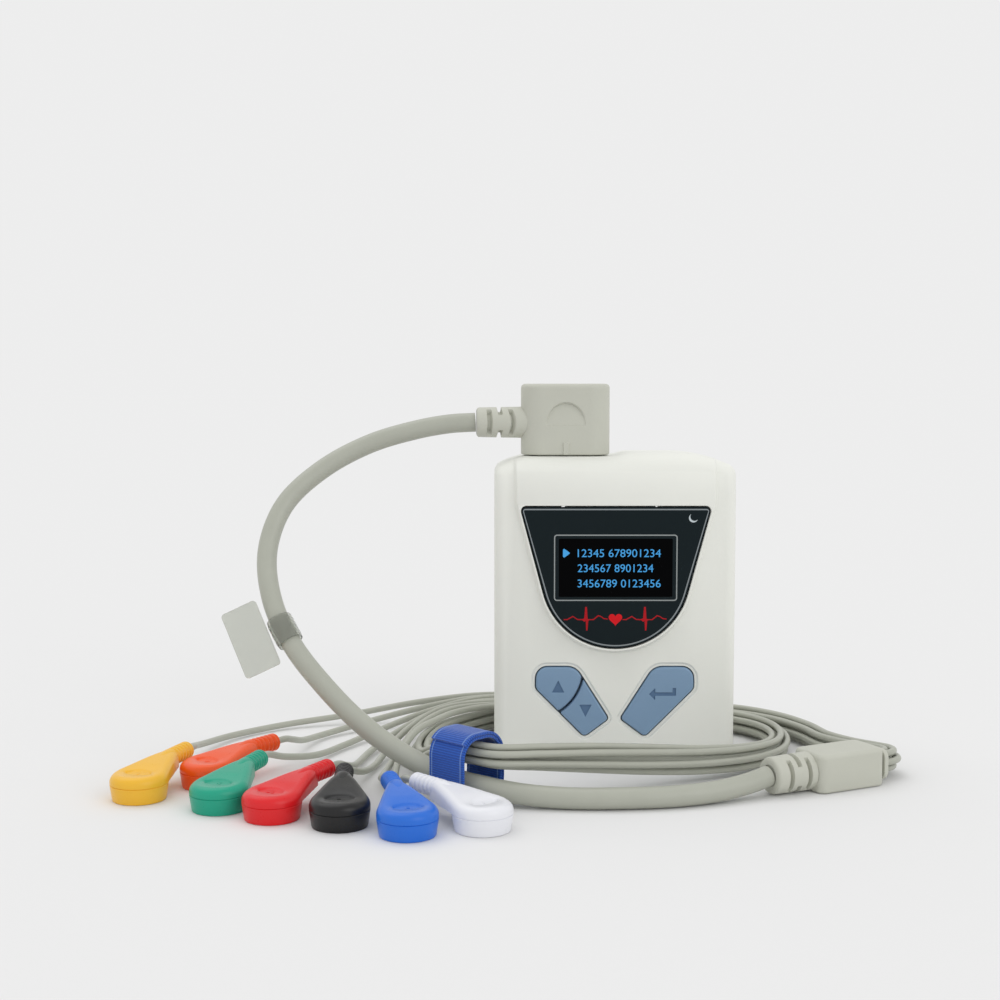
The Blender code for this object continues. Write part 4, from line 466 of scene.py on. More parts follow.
def relief(plane, triangles, front, back, outer=None, outer_steps=()):
    """Closed plate: the filled plane at its front heights, a copy at the back facing the other
    way, and walls between their rims. Each step of the outer wall is (inset, y): the rim moved
    into the plate by the inset, at that depth. The back is one height or a point for each."""
    n = len(plane)
    shells = [np.column_stack([plane[:, 0], np.broadcast_to(front, n), plane[:, 1]])]
    behind = back if np.ndim(back) == 2 else np.column_stack(
        [plane[:, 0], np.broadcast_to(back, n), plane[:, 1]])
    shells.append(behind)
    faces = [*triangles.tolist(), *(triangles[:, ::-1] + n).tolist()]
    edges = rims(triangles)
    after, before = np.zeros(n, int), np.zeros(n, int)
    after[edges[:, 0]] = edges[:, 1]
    before[edges[:, 1]] = edges[:, 0]
    on_outer = np.ones(len(edges), bool)
    if outer is not None:
        on_outer = np.abs(depth_inside(plane[edges].mean(1), outer)) < 2e-5
    total = 2 * n
    for rim, steps in ((edges[on_outer], outer_steps), (edges[~on_outer], ())):
        last = np.arange(n)
        members = np.unique(rim)
        along = unit(plane[after[members]] - plane[before[members]])
        inward = np.column_stack([-along[:, 1], along[:, 0]])
        for inset, y in steps:
            moved = plane[members] + inward * inset
            shells.append(np.column_stack([moved[:, 0], np.full(len(members), y), moved[:, 1]]))
            ring = np.zeros(n, int)
            ring[members] = np.arange(len(members)) + total
            faces += np.column_stack([last[rim[:, 1]], last[rim[:, 0]],
                                      ring[rim[:, 0]], ring[rim[:, 1]]]).tolist()
            last = ring
            total += len(members)
        faces += np.column_stack([last[rim[:, 1]], last[rim[:, 0]], rim[:, 0] + n, rim[:, 1] + n]).tolist()
    return np.vstack(shells), faces


def flat_plate(outer, holes, front, back):
    """A flat closed plate with the outline's shape, for panes and prints."""
    plane, triangles = fill(outer, holes)
    return relief(plane, triangles, front, back)


def round_rim(depth, radius):
    """How far a rounded rim falls back at a depth inside its outline: r - sqrt(r^2 - (r - d)^2)."""
    short = np.clip(radius - depth, 0.0, radius)
    return radius - np.sqrt(np.maximum(radius * radius - short * short, 0.0))


def rim_insets(radius, steps=7, support=0.00012):
    """Depths of guide outlines along a rounded rim, even in angle, and one just past it."""
    angle = np.linspace(0.0, math.pi / 2, steps + 1)[1:]
    return [*(radius * (1 - np.cos(angle))), radius + support]


EASE = 0.0002
EASE_INSETS = rim_insets(EASE, 3, 0.0001)

# %% [markdown]
# ## Recorder case
# Two moulded shells meet at a thin seam. The front carries a raised, shield-shaped bezel whose
# upper end rolls over the top of the case, and two dished wells for the keys. The sizes below
# come from the frame where it has them.

# %% Case outline
front_low, front_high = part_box("front_shell")
rear_low, rear_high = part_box("rear_shell")
hood_low, hood_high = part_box("plug_hood")
CASE_SIDE = front_high.x
CASE_TOP = front_high.z
BEZEL_FRONT = -front_low.y
CASE_FRONT = 0.0106
CASE_BACK = rear_high.y
SEAM_FRONT = front_high.y
SEAM_REAR = rear_low.y
CASE_WALL = 0.0018
CASE_EDGE = 0.0028
CROWN_FLAT = 0.0150
CROWN_RADIUS = 0.0390
CROWN_END = 0.0035
CASE_CORNER = 0.0030
SEAT_DROP = 0.0009
SEAT_RISE_WIDTH = 0.0046
SEAT_MARGIN = 0.0004


def crown_height(x):
    """Top of the case: flat in the middle, falling along an arc on the shoulders, and lowered
    under the plug with a soft rise beside it."""
    across = np.maximum(np.abs(x) - CROWN_FLAT, 0.0)
    arched = CASE_TOP - CROWN_RADIUS + np.sqrt(CROWN_RADIUS ** 2 - across ** 2)
    seat = CASE_TOP - SEAT_DROP * (1 - smooth_step((x - hood_high.x - SEAT_MARGIN) / SEAT_RISE_WIDTH))
    return np.minimum(arched, seat)


def case_outline():
    """Feet, straight sides, rounded shoulders and the crown."""
    x = np.linspace(CASE_SIDE - CROWN_END, -CASE_SIDE + CROWN_END, 90)
    crown = [(u, v, 0.0) for u, v in zip(x, crown_height(x))]
    shoulder = float(crown_height(np.array(CASE_SIDE)))
    corners = [(-CASE_SIDE, 0.0, CASE_CORNER), (CASE_SIDE, 0.0, CASE_CORNER),
               (CASE_SIDE, shoulder, CASE_CORNER), *crown, (-CASE_SIDE, shoulder, CASE_CORNER)]
    return loop_of(corners, 9)


CASE_LOOP = case_outline()
print("case outline", len(CASE_LOOP), "points")

# %% [markdown]
# The window is a shield: two leaning sides run into one arc at their foot. The same formula
# gives the bezel when its margin grows, and for the bezel the sides carry on past the top.

# %% Shield outline
WINDOW_TOP_WIDTH = 0.0497
WINDOW_TOP_Z = 0.0657
WINDOW_ARC_Z = 0.0479
WINDOW_ARC_RADIUS = 0.0194
WINDOW_CORNER = 0.0014
TONGUE_TOP_WIDTH = 0.0532
TONGUE_BEND = 0.012
TONGUE_OVERRUN = 0.004


def shield(margin, arc_steps=56, tongue=False):
    """Shield outline grown by a margin: the arc ends where the line from the corner touches it,
    acos(radius / distance) round from the corner's direction."""
    radius = WINDOW_ARC_RADIUS + margin
    half = WINDOW_TOP_WIDTH / 2 + margin
    reach = math.hypot(half, WINDOW_TOP_Z - WINDOW_ARC_Z)
    first = math.atan2(WINDOW_TOP_Z - WINDOW_ARC_Z, half) - math.acos(radius / reach)
    sweep = first + math.pi / 2
    angle = np.linspace(-math.pi / 2 - sweep, -math.pi / 2 + sweep, arc_steps)
    arc = [(radius * math.cos(a), WINDOW_ARC_Z + radius * math.sin(a), 0.0) for a in angle]
    if tongue:
        top_half = TONGUE_TOP_WIDTH / 2 + margin - TONGUE_MARGIN
        past = CASE_TOP + TONGUE_OVERRUN
        ends = [(half, WINDOW_TOP_Z, TONGUE_BEND), (top_half, past, 0.0), (-top_half, past, 0.0),
                (-half, WINDOW_TOP_Z, TONGUE_BEND)]
    else:
        corner = WINDOW_CORNER + margin
        top = WINDOW_TOP_Z + margin
        ends = [(half, top, corner), (-half, top, corner)]
    return loop_of(arc + ends, 8)


# %% [markdown]
# The keys' pads are five-cornered, and the right one mirrors the left. The left pad is split in
# two by an arc, so each half's outline is the pad's outline cut by a circle.

# %% Pad outlines
PAD_CORNERS = [
    (-0.0204, 0.0236, 0.0030),
    (-0.0102, 0.0236, 0.0040),
    (-0.0016, 0.0100, 0.0007),
    (-0.0079, 0.0053, 0.0011),
    (-0.0205, 0.0180, 0.0018),
]
SPLIT_X = -0.0214
SPLIT_Z = 0.0231
SPLIT_RADIUS = 0.0132
SPLIT_GAP = 0.0003
LEFT_PAD = evenly(loop_of(PAD_CORNERS, 10)[::-1], 0.00025)
RIGHT_PAD = (LEFT_PAD * (-1.0, 1.0))[::-1]


def circle(radius, u=0.0, v=0.0, steps=40, first=0.0, sweep=2 * math.pi):
    """Points round (u, v) from a first angle, without the last."""
    a = first + np.linspace(0.0, sweep, steps, endpoint=False)
    return np.column_stack([u + radius * np.cos(a), v + radius * np.sin(a)])


def clipped(loop, centre, radius, inside, step=0.00025):
    """The run of an outline inside (or outside) a circle, closed by the circle's arc, which is
    the one of the two whose middle lies in the outline."""
    within = (np.linalg.norm(loop - centre, axis=1) < radius) == inside
    first = int(np.nonzero(within & ~np.roll(within, 1))[0][0])
    run = np.roll(loop, -first, 0)[:int(within.sum())]
    ends = run[[-1, 0]] - centre
    a, b = np.arctan2(ends[:, 1], ends[:, 0])
    turn = (b - a) % (2 * math.pi)
    arcs = [centre + circle(radius, first=a, sweep=way) for way in (turn, turn - 2 * math.pi)]
    arc = max(arcs, key=lambda line: depth_inside(line[len(line) // 2][None], loop)[0])
    return evenly(without_doubles(np.vstack([run, arc]), step / 5), step)


def softened(loop, rounds):
    """Corners eased by averaging each point with its neighbours, again and again."""
    for _ in range(rounds):
        loop = (np.roll(loop, 1, 0) + 2 * loop + np.roll(loop, -1, 0)) / 4
    return loop


# %% Front shell
TONGUE_MARGIN = 0.0013
TONGUE_SLOPE = 0.0010
LIP = 0.00025
DISH_MARGIN = 0.0013
DISH_SLOPE = 0.0005
DISH_DEPTH = 0.0004
KEY_GAP = 0.0003
WALL_REACH = 0.0035
ROLL_HEIGHT = 0.0110
ROLL_DEPTH = 0.00625
ROLL_ROWS = 24


def rolled(points):
    """Bend the front over the top: y + D(z) w(y), where D follows a quarter ellipse from the
    roll's start up to the top, and w falls from 1 at the front to 0 at the middle."""
    share = np.clip((points[:, 2] - (CASE_TOP - ROLL_HEIGHT)) / ROLL_HEIGHT, 0.0, 1.0)
    back = ROLL_DEPTH * (1 - np.sqrt(np.maximum(1 - share ** 2, 0.0)))
    weight = np.clip(-points[:, 1] / BEZEL_FRONT, 0.0, 1.0)
    bent = points.copy()
    bent[:, 1] += back * weight
    return bent


def inner_skin(plane, y):
    """The shell's inside: each point one wall behind, and moved in from the outline by
    wall (1 - s(depth / reach)) along the slope of the depth."""
    small = 1e-5
    depth = depth_inside(plane, CASE_LOOP)
    slope = np.column_stack([depth_inside(plane + step, CASE_LOOP) - depth
                             for step in ((small, 0.0), (0.0, small))])
    moved = plane + unit(slope) * (CASE_WALL * (1 - smooth_step(depth / WALL_REACH)))[:, None]
    return np.column_stack([moved[:, 0], y + CASE_WALL, moved[:, 1]])


def make_front_shell():
    """Fill between the case outline, the bezel's step, the window and the key wells."""
    tongue_lines = [shield(TONGUE_MARGIN - t, tongue=True)
                    for t in np.linspace(0.0, TONGUE_SLOPE, 7)]
    window = shield(0.0)
    lip_lines = [shield(m) for m in rim_insets(LIP, 3, 0.0001)]
    pads = [softened(LEFT_PAD, 2), softened(RIGHT_PAD, 2)]
    holes = [window] + [grown(pad, KEY_GAP) for pad in pads]
    dish_lines = [grown(pad, DISH_MARGIN - t) for pad in pads
                  for t in (-0.0001, *np.linspace(0.0, DISH_SLOPE, 5), DISH_SLOPE + 0.0001)]
    edge_lines = [grown(CASE_LOOP, -d) for d in rim_insets(CASE_EDGE, 9)]
    rows = np.linspace(WINDOW_TOP_Z + 2 * LIP, CASE_TOP, ROLL_ROWS + 1)[:-1]
    roll_lines = [np.array([(-CASE_SIDE, z), (CASE_SIDE, z)]) for z in rows]
    plane, triangles = fill(CASE_LOOP, holes, edge_lines + tongue_lines + lip_lines + dish_lines,
                            roll_lines)
    y = -CASE_FRONT + round_rim(depth_inside(plane, CASE_LOOP), CASE_EDGE)
    step = smooth_step(depth_inside(plane, tongue_lines[0]) / TONGUE_SLOPE)
    y -= (BEZEL_FRONT - CASE_FRONT) * step
    y += round_rim(-depth_inside(plane, window), LIP)
    for pad in pads:
        outside = -depth_inside(plane, pad)
        y += DISH_DEPTH * smooth_step((DISH_MARGIN - outside) / DISH_SLOPE)
    points, faces = relief(plane, triangles, y, inner_skin(plane, y), CASE_LOOP,
                           [(0.0, SEAM_FRONT), (CASE_WALL, SEAM_FRONT)])
    return build("front_shell_skin", rolled(points), faces, recalc=False)


front_shell = make_front_shell()
print("front shell", len(front_shell.data.polygons), "faces")

# %% [markdown]
# The rear shell is the same outline without the bezel. It has the door's opening, four screw
# wells, and the two outer knuckles of the hinge.

# %% Rear shell
door_low, door_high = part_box("battery_door")
HINGE_X = -0.0146
HINGE_Y = 0.0105
KNUCKLE_RADIUS = 0.0015
KNUCKLE_LENGTH = 0.0070
PART_GAP = 0.0003
OPENING_CORNER = 0.0006
SCREW_WELL_RADIUS = 0.0021
SCREW_PLACES = [(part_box(f"case_screw_{i}")[0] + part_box(f"case_screw_{i}")[1]) / 2 for i in range(1, 5)]


def knuckle(low, high, radius=KNUCKLE_RADIUS, ease=0.0002, steps=40):
    """A hinge barrel between two heights, its ends eased."""
    profile = [(0.0, low), (radius - ease, low), (radius, low + ease), (radius, high - ease),
               (radius - ease, high), (0.0, high)]
    points, faces = turned(profile, steps)
    return points + (HINGE_X, HINGE_Y, 0.0), faces


def block(low, high):
    """A plain box between two corners."""
    corner = np.array([[0, 0, 0], [1, 0, 0], [1, 1, 0], [0, 1, 0],
                       [0, 0, 1], [1, 0, 1], [1, 1, 1], [0, 1, 1]])
    faces = [[3, 2, 1, 0], [4, 5, 6, 7], [0, 1, 5, 4], [1, 2, 6, 5], [2, 3, 7, 6], [3, 0, 4, 7]]
    return np.array(low) + corner * (np.array(high) - np.array(low)), faces


def facing_back(points):
    """Turn a plate made for the front round to face +Y, by mirroring y."""
    return points * (1.0, -1.0, 1.0)


def make_rear_shell():
    """Fill between the outline, the door opening and the screw wells, then turn it to the back."""
    left, right = HINGE_X - KNUCKLE_RADIUS - PART_GAP, door_high.x + PART_GAP
    low, high = door_low.z - PART_GAP, door_high.z + PART_GAP
    opening = loop_of([(left, low, OPENING_CORNER), (right, low, OPENING_CORNER),
                       (right, high, OPENING_CORNER), (left, high, OPENING_CORNER)], 6)
    wells = [circle(SCREW_WELL_RADIUS, p.x, p.z) for p in SCREW_PLACES]
    eases = [grown(hole, m) for hole in [opening, *wells] for m in EASE_INSETS]
    edge_lines = [grown(CASE_LOOP, -d) for d in rim_insets(CASE_EDGE, 9)]
    plane, triangles = fill(CASE_LOOP, [opening, *wells], edge_lines + eases)
    y = -CASE_BACK + round_rim(depth_inside(plane, CASE_LOOP), CASE_EDGE)
    for hole in [opening, *wells]:
        y += round_rim(-depth_inside(plane, hole), EASE)
    points, faces = relief(plane, triangles, y, inner_skin(plane, y), CASE_LOOP,
                           [(0.0, -SEAM_REAR), (CASE_WALL, -SEAM_REAR)])
    skin = (facing_back(points), [f[::-1] for f in faces])
    barrels = []
    for low in (door_low.z, door_high.z - KNUCKLE_LENGTH):
        high = low + KNUCKLE_LENGTH
        barrels.append(knuckle(low, high))
        barrels.append(block((HINGE_X - KNUCKLE_RADIUS - CASE_WALL, HINGE_Y - KNUCKLE_RADIUS / 2, low),
                             (HINGE_X, CASE_BACK - PART_GAP, high)))
    return build("rear_shell_skin", *join_arrays(skin, *barrels), recalc=False)


rear_shell = make_rear_shell()
print("rear shell", len(rear_shell.data.polygons), "faces")

# %% [markdown]
# The window is one pane of smoked clear plastic, printed on the back. Here the pane is
# solid and dark with a hard gloss, and each print is its own very thin plate on its face, so a
# print keeps a clean edge at any distance. The words of the real display are left out: three
# rows of plain digits stand for its lines.

# %% Window pane and prints
PANE_FRONT = -BEZEL_FRONT + PART_GAP
PANE_BACK = PANE_FRONT + 0.0008
PRINT_THICK = 0.00003
SILVER_INSET = 0.00075
SILVER_WIDTH = 0.00034
SCREEN_Z = 0.0497
FRAME_SIZE = (0.0318, 0.0172)
FRAME_LINE = 0.00030
FRAME_CORNER = 0.0008
GLASS_SIZE = (0.0293, 0.0151)
PULSE_Z = 0.03625
PULSE_STARTS = (-0.01335, 0.00185)
HEART_WIDTH = 0.0035
HEART_Z = 0.0364
PRINT_FRONT = PANE_FRONT - PRINT_THICK


def make_pane():
    """The shield's outline with an eased rim."""
    outline = shield(-PART_GAP)
    plane, triangles = fill(outline, (), [grown(outline, -d) for d in EASE_INSETS])
    y = PANE_FRONT + round_rim(depth_inside(plane, outline), EASE)
    return build("window_pane", *relief(plane, triangles, y, PANE_BACK), recalc=False)


def print_on(name, outer, holes=(), lift=0):
    """A print: a thin plate on the pane's face, its back sunk a little into the pane."""
    front = PRINT_FRONT - lift * PRINT_THICK
    return build(name, *flat_plate(outer, holes, front, PANE_FRONT + PRINT_THICK), recalc=False)


def heart(width, u, v):
    """Heart curve: x = 16 sin^3 t, z = 13 cos t - 5 cos 2t - 2 cos 3t - cos 4t, scaled."""
    t = np.linspace(0.0, 2 * math.pi, 72, endpoint=False)
    x = 16 * np.sin(t) ** 3
    z = 13 * np.cos(t) - 5 * np.cos(2 * t) - 2 * np.cos(3 * t) - np.cos(4 * t)
    return without_doubles(np.column_stack([x, z])[::-1] * width / 32 + (u, v), 5e-6)


def pulse(start):
    """One beat of the trace, from the left: a low wave, a tall spike, a dip and a broad wave.
    Its upper and lower edges are both heights over x, so the outline can't cross itself."""
    upper = [(0.00, 0.12), (0.90, 0.15), (2.35, 0.98), (3.60, 0.16), (4.75, 0.12), (5.30, 0.35),
             (5.52, 3.30), (5.98, 3.30), (6.18, 0.20), (6.45, 0.12), (7.60, 0.12), (8.90, 1.18),
             (9.60, 0.95), (10.40, 0.40), (11.35, 0.25)]
    lower = [(11.35, 0.00), (10.30, 0.14), (9.60, 0.66), (8.95, 0.86), (7.75, -0.14), (6.55, -0.16),
             (6.35, -0.40), (6.16, -2.85), (5.80, -2.85), (5.68, -0.30), (5.45, -0.60), (5.20, -0.50),
             (4.80, -0.16), (3.50, -0.12), (2.40, 0.66), (0.95, -0.14), (0.00, -0.14)]
    return np.array(upper + lower)[::-1] / PLANE_SCALE + (start, PULSE_Z)


pane = make_pane()
silver = print_on("silver_line", shield(-SILVER_INSET), [shield(-SILVER_INSET - SILVER_WIDTH)])
frame_inside = oblong(FRAME_SIZE[0] - 2 * FRAME_LINE, FRAME_SIZE[1] - 2 * FRAME_LINE,
                      FRAME_CORNER - FRAME_LINE, 0.0, SCREEN_Z)
screen_frame = print_on("screen_frame", oblong(*FRAME_SIZE, FRAME_CORNER, 0.0, SCREEN_Z), [frame_inside])
screen_glass = print_on("screen_glass", oblong(*GLASS_SIZE, 0.0003, 0.0, SCREEN_Z))
pulses = [print_on(f"pulse_{i + 1}", pulse(x)) for i, x in enumerate(PULSE_STARTS)]
heart_mark = print_on("heart_mark", heart(HEART_WIDTH, 0.0, HEART_Z))
print("window", len(pane.data.polygons), "faces")

# %% Digits on the screen
ROW_HEIGHT = 0.00205
ROWS = [("12345 678901234", 0.0214, 0.05350), ("234567 8901234", 0.0195, 0.04960),
        ("3456789 0123456", 0.0214, 0.04565)]
ROW_LEFT = -0.0098
# The pale crescent by the screen is painted highlight: the glint on the round lens of the indicator lamp,
# laid on the pane as a print.
MOON_RADIUS = 0.00116
MOON_PLACE = (0.0199, 0.0626)
MOON_BITE_RADIUS = 0.00110
MOON_BITE_PLACE = (0.02018, 0.06295)


def digits(words, height, thick):
    """Points and faces of upright digits on the plane y = 0, from the left at x = 0."""
    curve = bpy.data.curves.new("digits", "FONT")
    curve.body = words
    curve.extrude = thick / 2
    curve.resolution_u = 6
    shape = bpy.data.objects.new("digits", curve)
    bpy.context.scene.collection.objects.link(shape)
    mesh = bpy.data.meshes.new_from_object(shape.evaluated_get(bpy.context.evaluated_depsgraph_get()))
    points = np.empty(len(mesh.vertices) * 3)
    mesh.vertices.foreach_get("co", points)
    faces = [list(p.vertices) for p in mesh.polygons]
    bpy.data.objects.remove(shape)
    bpy.data.curves.remove(curve)
    points = points.reshape(-1, 3)
    flat = points[:, :2] - points[:, :2].min(0)
    flat *= height / flat[:, 1].max()
    return np.column_stack([flat[:, 0], -points[:, 2], flat[:, 1]]), faces


row_shells = []
for words, width, z in ROWS:
    points, faces = digits(words, ROW_HEIGHT, 2 * PRINT_THICK)
    points[:, 0] *= width / points[:, 0].max()
    row_shells.append((points + (ROW_LEFT, PRINT_FRONT - PRINT_THICK, z - ROW_HEIGHT / 2), faces))
pointer = loop_of([(-0.0136, 0.0521, 0.0003), (-0.0117, 0.0535, 0.0002), (-0.0136, 0.0549, 0.0003)], 4)
row_shells.append(flat_plate(pointer, (), PRINT_FRONT - PRINT_THICK, PRINT_FRONT))
screen_rows = build("screen_rows", *join_arrays(*row_shells))
# Painted highlight: the lamp lens's crescent glint, a pale print on the pane.
glint_crescent = clipped(circle(MOON_RADIUS, *MOON_PLACE, 96), np.array(MOON_BITE_PLACE), MOON_BITE_RADIUS, False,
               0.00005)
lens_glint = print_on("lens_glint", glint_crescent)
print("screen rows", len(screen_rows.data.polygons), "faces")

# %% [markdown]
# The keys are moulded silicone pads that stand half a millimetre out of their wells. Their
# signs are pressed in, so each sign's outline is a guide line and the height drops inside it.

# %% Keys
KEY_FRONT = -CASE_FRONT - 0.0005
KEY_BACK = -0.0081
KEY_EDGE = 0.00055
PILLOW = 0.00012
PILLOW_REACH = 0.0030
SIGN_DEPTH = 0.00028
SIGN_SLOPE = 0.00010
SIGN = 0.0032


def arrow_head(u, v, up):
    """Triangle about (u, v) that points up or down."""
    half = SIGN / 2
    corners = [(u - half, v - up * half), (u + half, v - up * half), (u, v + up * half)]
    return loop_of([(*c, 0.0001) for c in corners[::up]], 2)


def enter_sign(u=0.0124, v=0.0166, width=0.0070, stem=0.00045):
    """Return arrow: a bar with a head at its left and a riser at its right."""
    half, tip = width / 2, SIGN / 2
    corners = [(u - half, v), (u - half + tip, v - tip), (u - half + tip, v - stem), (u + half, v - stem),
               (u + half, v + tip), (u + half - 2 * stem, v + tip), (u + half - 2 * stem, v + stem),
               (u - half + tip, v + stem), (u - half + tip, v + tip)]
    return loop_of([(*c, 0.00008) for c in corners], 2)


def keep_share(piece, name, share):
    """Keep one number for each vertex, worked out from the vertices' places."""
    places = np.empty(len(piece.data.vertices) * 3)
    piece.data.vertices.foreach_get("co", places)
    attribute = piece.data.attributes.new(name, "FLOAT", "POINT")
    attribute.data.foreach_set("value", share(places.reshape(-1, 3)))


def make_key(name, outline, sign):
    """A pad whose height is its rounded rim, a slight pillow and the sign pressed in."""
    guides = [grown(outline, -d) for d in (*rim_insets(KEY_EDGE, 5, 0.0001), 0.0013, 0.0022)]
    guides += [grown(sign, -d) for d in (-0.00003, 0.00005, SIGN_SLOPE)]
    plane, triangles = fill(outline, (), guides)
    depth = depth_inside(plane, outline)
    y = KEY_FRONT + round_rim(depth, KEY_EDGE) + PILLOW * (1 - smooth_step(depth / PILLOW_REACH))
    y += SIGN_DEPTH * smooth_step(depth_inside(plane, sign) / SIGN_SLOPE)
    key = build(name, *relief(plane, triangles, y, KEY_BACK), recalc=False)
    # The sign share marks the pressed-in sign, where the silicone finish paints shade.
    keep_share(key, "sign", lambda p: smooth_step((depth_inside(p[:, ::2], sign) + 0.00002) / 0.00006))
    return key


split = np.array([SPLIT_X, SPLIT_Z])
upper_pad = clipped(LEFT_PAD, split, SPLIT_RADIUS - SPLIT_GAP, True)
lower_pad = clipped(LEFT_PAD, split, SPLIT_RADIUS + SPLIT_GAP, False)
keys = {
    "button_up": make_key("key_up", softened(upper_pad, 3), arrow_head(-0.0147, 0.0186, 1)),
    "button_down": make_key("key_down", softened(lower_pad, 3), arrow_head(-0.0076, 0.0122, -1)),
    "button_enter": make_key("key_enter", softened(RIGHT_PAD, 3), enter_sign()),
}
print("keys", [len(key.data.polygons) for key in keys.values()])

# %% [markdown]
# The battery door is a thin plate on a long hinge barrel. Three grooves near its upper end give
# the thumb a hold. The case screws keep a cross recess in their heads.

# %% Battery door and screws
GRIP_WIDTH = 0.0120
GRIP_HEIGHT = 0.0012
GRIP_PITCH = 0.0024
GRIP_DROP = 0.0060
GRIP_DEPTH = 0.0004
DOOR_LEFT = HINGE_X + KNUCKLE_RADIUS + 2 * PART_GAP
DOOR_THICK = 0.0016
DOOR_CORNER = 0.0015
DOOR_EDGE = 0.0004
GRIP_SLOPE = 0.0004


def make_door():
    """A rounded plate with pressed grips, a leaf to the hinge and the middle barrel."""
    width, height = door_high.x - DOOR_LEFT, door_high.z - door_low.z
    outline = oblong(width, height, DOOR_CORNER, (DOOR_LEFT + door_high.x) / 2,
                     (door_low.z + door_high.z) / 2)
    middles = [door_high.z - GRIP_DROP - i * GRIP_PITCH + GRIP_HEIGHT / 2 for i in range(3)]
    grips = [oblong(GRIP_WIDTH, GRIP_HEIGHT, GRIP_HEIGHT / 2 - 1e-5, 0.0, z, 6) for z in middles]
    guides = [grown(outline, -d) for d in rim_insets(DOOR_EDGE, 4, 0.0001)]
    guides += [grown(grip, -d) for grip in grips for d in (0.0, 0.0001, 0.00025, GRIP_SLOPE)]
    plane, triangles = fill(outline, (), guides)
    y = -CASE_BACK + round_rim(depth_inside(plane, outline), DOOR_EDGE)
    for grip in grips:
        y += GRIP_DEPTH * smooth_step(depth_inside(plane, grip) / GRIP_SLOPE)
    points, faces = relief(plane, triangles, y, -CASE_BACK + DOOR_THICK)
    low, high = door_low.z + KNUCKLE_LENGTH + PART_GAP, door_high.z - KNUCKLE_LENGTH - PART_GAP
    leaf = block((HINGE_X, CASE_BACK - DOOR_THICK, low), (DOOR_LEFT + PART_GAP, CASE_BACK - PART_GAP, high))
    return build("battery_door_skin", *join_arrays((facing_back(points), [f[::-1] for f in faces]), leaf,
                                                   knuckle(low, high)), recalc=False)


def cross(width, arm):
    """Cross outline of a screwdriver recess."""
    a, b = width / 2, arm / 2
    return np.array([(-b, -a), (b, -a), (b, -b), (a, -b), (a, b), (b, b), (b, a), (-b, a), (-b, b),
                     (-a, b), (-a, -b), (-b, -b)])


SCREW_RADIUS = 0.0018
SCREW_DOME = 0.00035
SCREW_HEAD = 0.0012
SCREW_SINK = 0.0005
CROSS_WIDTH = 0.0020
CROSS_ARM = 0.0005
CROSS_DEPTH = 0.0006
CROSS_SLOPE = 0.00006


def make_screw(index, place):
    """A domed head with a cross recess, and a shank."""
    recess = cross(CROSS_WIDTH, CROSS_ARM)
    outline = circle(SCREW_RADIUS, 0.0, 0.0, 48)
    plane, triangles = fill(outline, (), [grown(outline, -d) for d in (0.0001, 0.0003, 0.0007)]
                            + [recess, grown(recess, -CROSS_SLOPE)])
    reach = np.hypot(plane[:, 0], plane[:, 1]) / SCREW_RADIUS
    y = SCREW_DOME * reach ** 2 + CROSS_DEPTH * smooth_step(depth_inside(plane, recess) / CROSS_SLOPE)
    head = relief(plane, triangles, y, SCREW_HEAD)
    shank_points, shank_faces = turned([(0.0, SCREW_HEAD), (0.0009, SCREW_HEAD), (0.0009, 0.0150),
                                        (0.0, 0.0155)], 20)
    shank = (shank_points[:, [0, 2, 1]], [f[::-1] for f in shank_faces])
    points, faces = join_arrays(head, shank)
    points = facing_back(points + (0.0, SCREW_SINK - CASE_BACK, 0.0)) + (place.x, 0.0, place.z)
    return build(f"screw_{index}", points, [f[::-1] for f in faces])


door = make_door()
screws = [make_screw(i + 1, place) for i, place in enumerate(SCREW_PLACES)]
print("door", len(door.data.polygons), "faces, screws", len(screws[0].data.polygons), "faces each")

# %% [markdown]
# ## Plug, boots and yoke
# The hood, the yoke block and the grommet are towers: one outline carried up a profile of
# (inset, height) pairs. The hood's thumb recess and its index rib are pushes in and out of the
# tower's wall, so they share its mesh and its smooth shading.

# %% Towers


def tower(loop, profile):
    """Rings of an outline inset and lifted by the profile, closed by a flat cap at each end."""
    normal = outline_normals(loop)
    inset, z = np.array(profile, float).T
    flat = loop[None] - normal[None] * inset[:, None, None]
    points = np.concatenate([flat, np.broadcast_to(z[:, None, None], (*flat.shape[:2], 1))], axis=2)
    return capped(points.reshape(-1, 3), len(profile), len(loop))


def rounded_profile(low, high, low_edge, high_edge, steps=6, rows=2):
    """Profile of a wall with a quarter circle at its foot and at its top."""
    a = np.linspace(0.0, math.pi / 2, steps + 1)
    foot = [(low_edge * (1 - math.sin(t)), low + low_edge * (1 - math.cos(t))) for t in a]
    wall = [(0.0, z) for z in np.linspace(low + low_edge, high - high_edge, rows)[1:-1]]
    top = [(high_edge * (1 - math.cos(t)), high - high_edge * (1 - math.sin(t))) for t in a]
    return foot + wall + top


# %% Plug hood
HOOD_MIDDLE = (hood_low.x + hood_high.x) / 2
HOOD_DEPTH = 0.0115
HOOD_LOW = hood_low.z
HOOD_HIGH = hood_high.z
THUMB_WIDTH = 0.0104
THUMB_HEIGHT = 0.0062
THUMB_DEPTH = 0.0010
THUMB_LOW = 0.0076
RIB_WIDTH = 0.0018
RIB_HEIGHT = 0.0036
RIB_PROUD = 0.00045


def hood_push(x, z):
    """How far the hood's wall goes in at (x, z) of its flat faces: nothing below the recess, a
    floor that falls away upwards, and a steep wall along the half ellipse."""
    u = (x - HOOD_MIDDLE) / (THUMB_WIDTH / 2)
    v = (z - HOOD_LOW - THUMB_LOW) / THUMB_HEIGHT
    inside = 1 - np.sqrt(u ** 2 + np.maximum(v, 0.0) ** 2)
    slope = 0.18 + 0.82 * np.clip(v, 0.0, 1.0)
    return THUMB_DEPTH * slope * smooth_step(inside / 0.07) * smooth_step(v / 0.03)


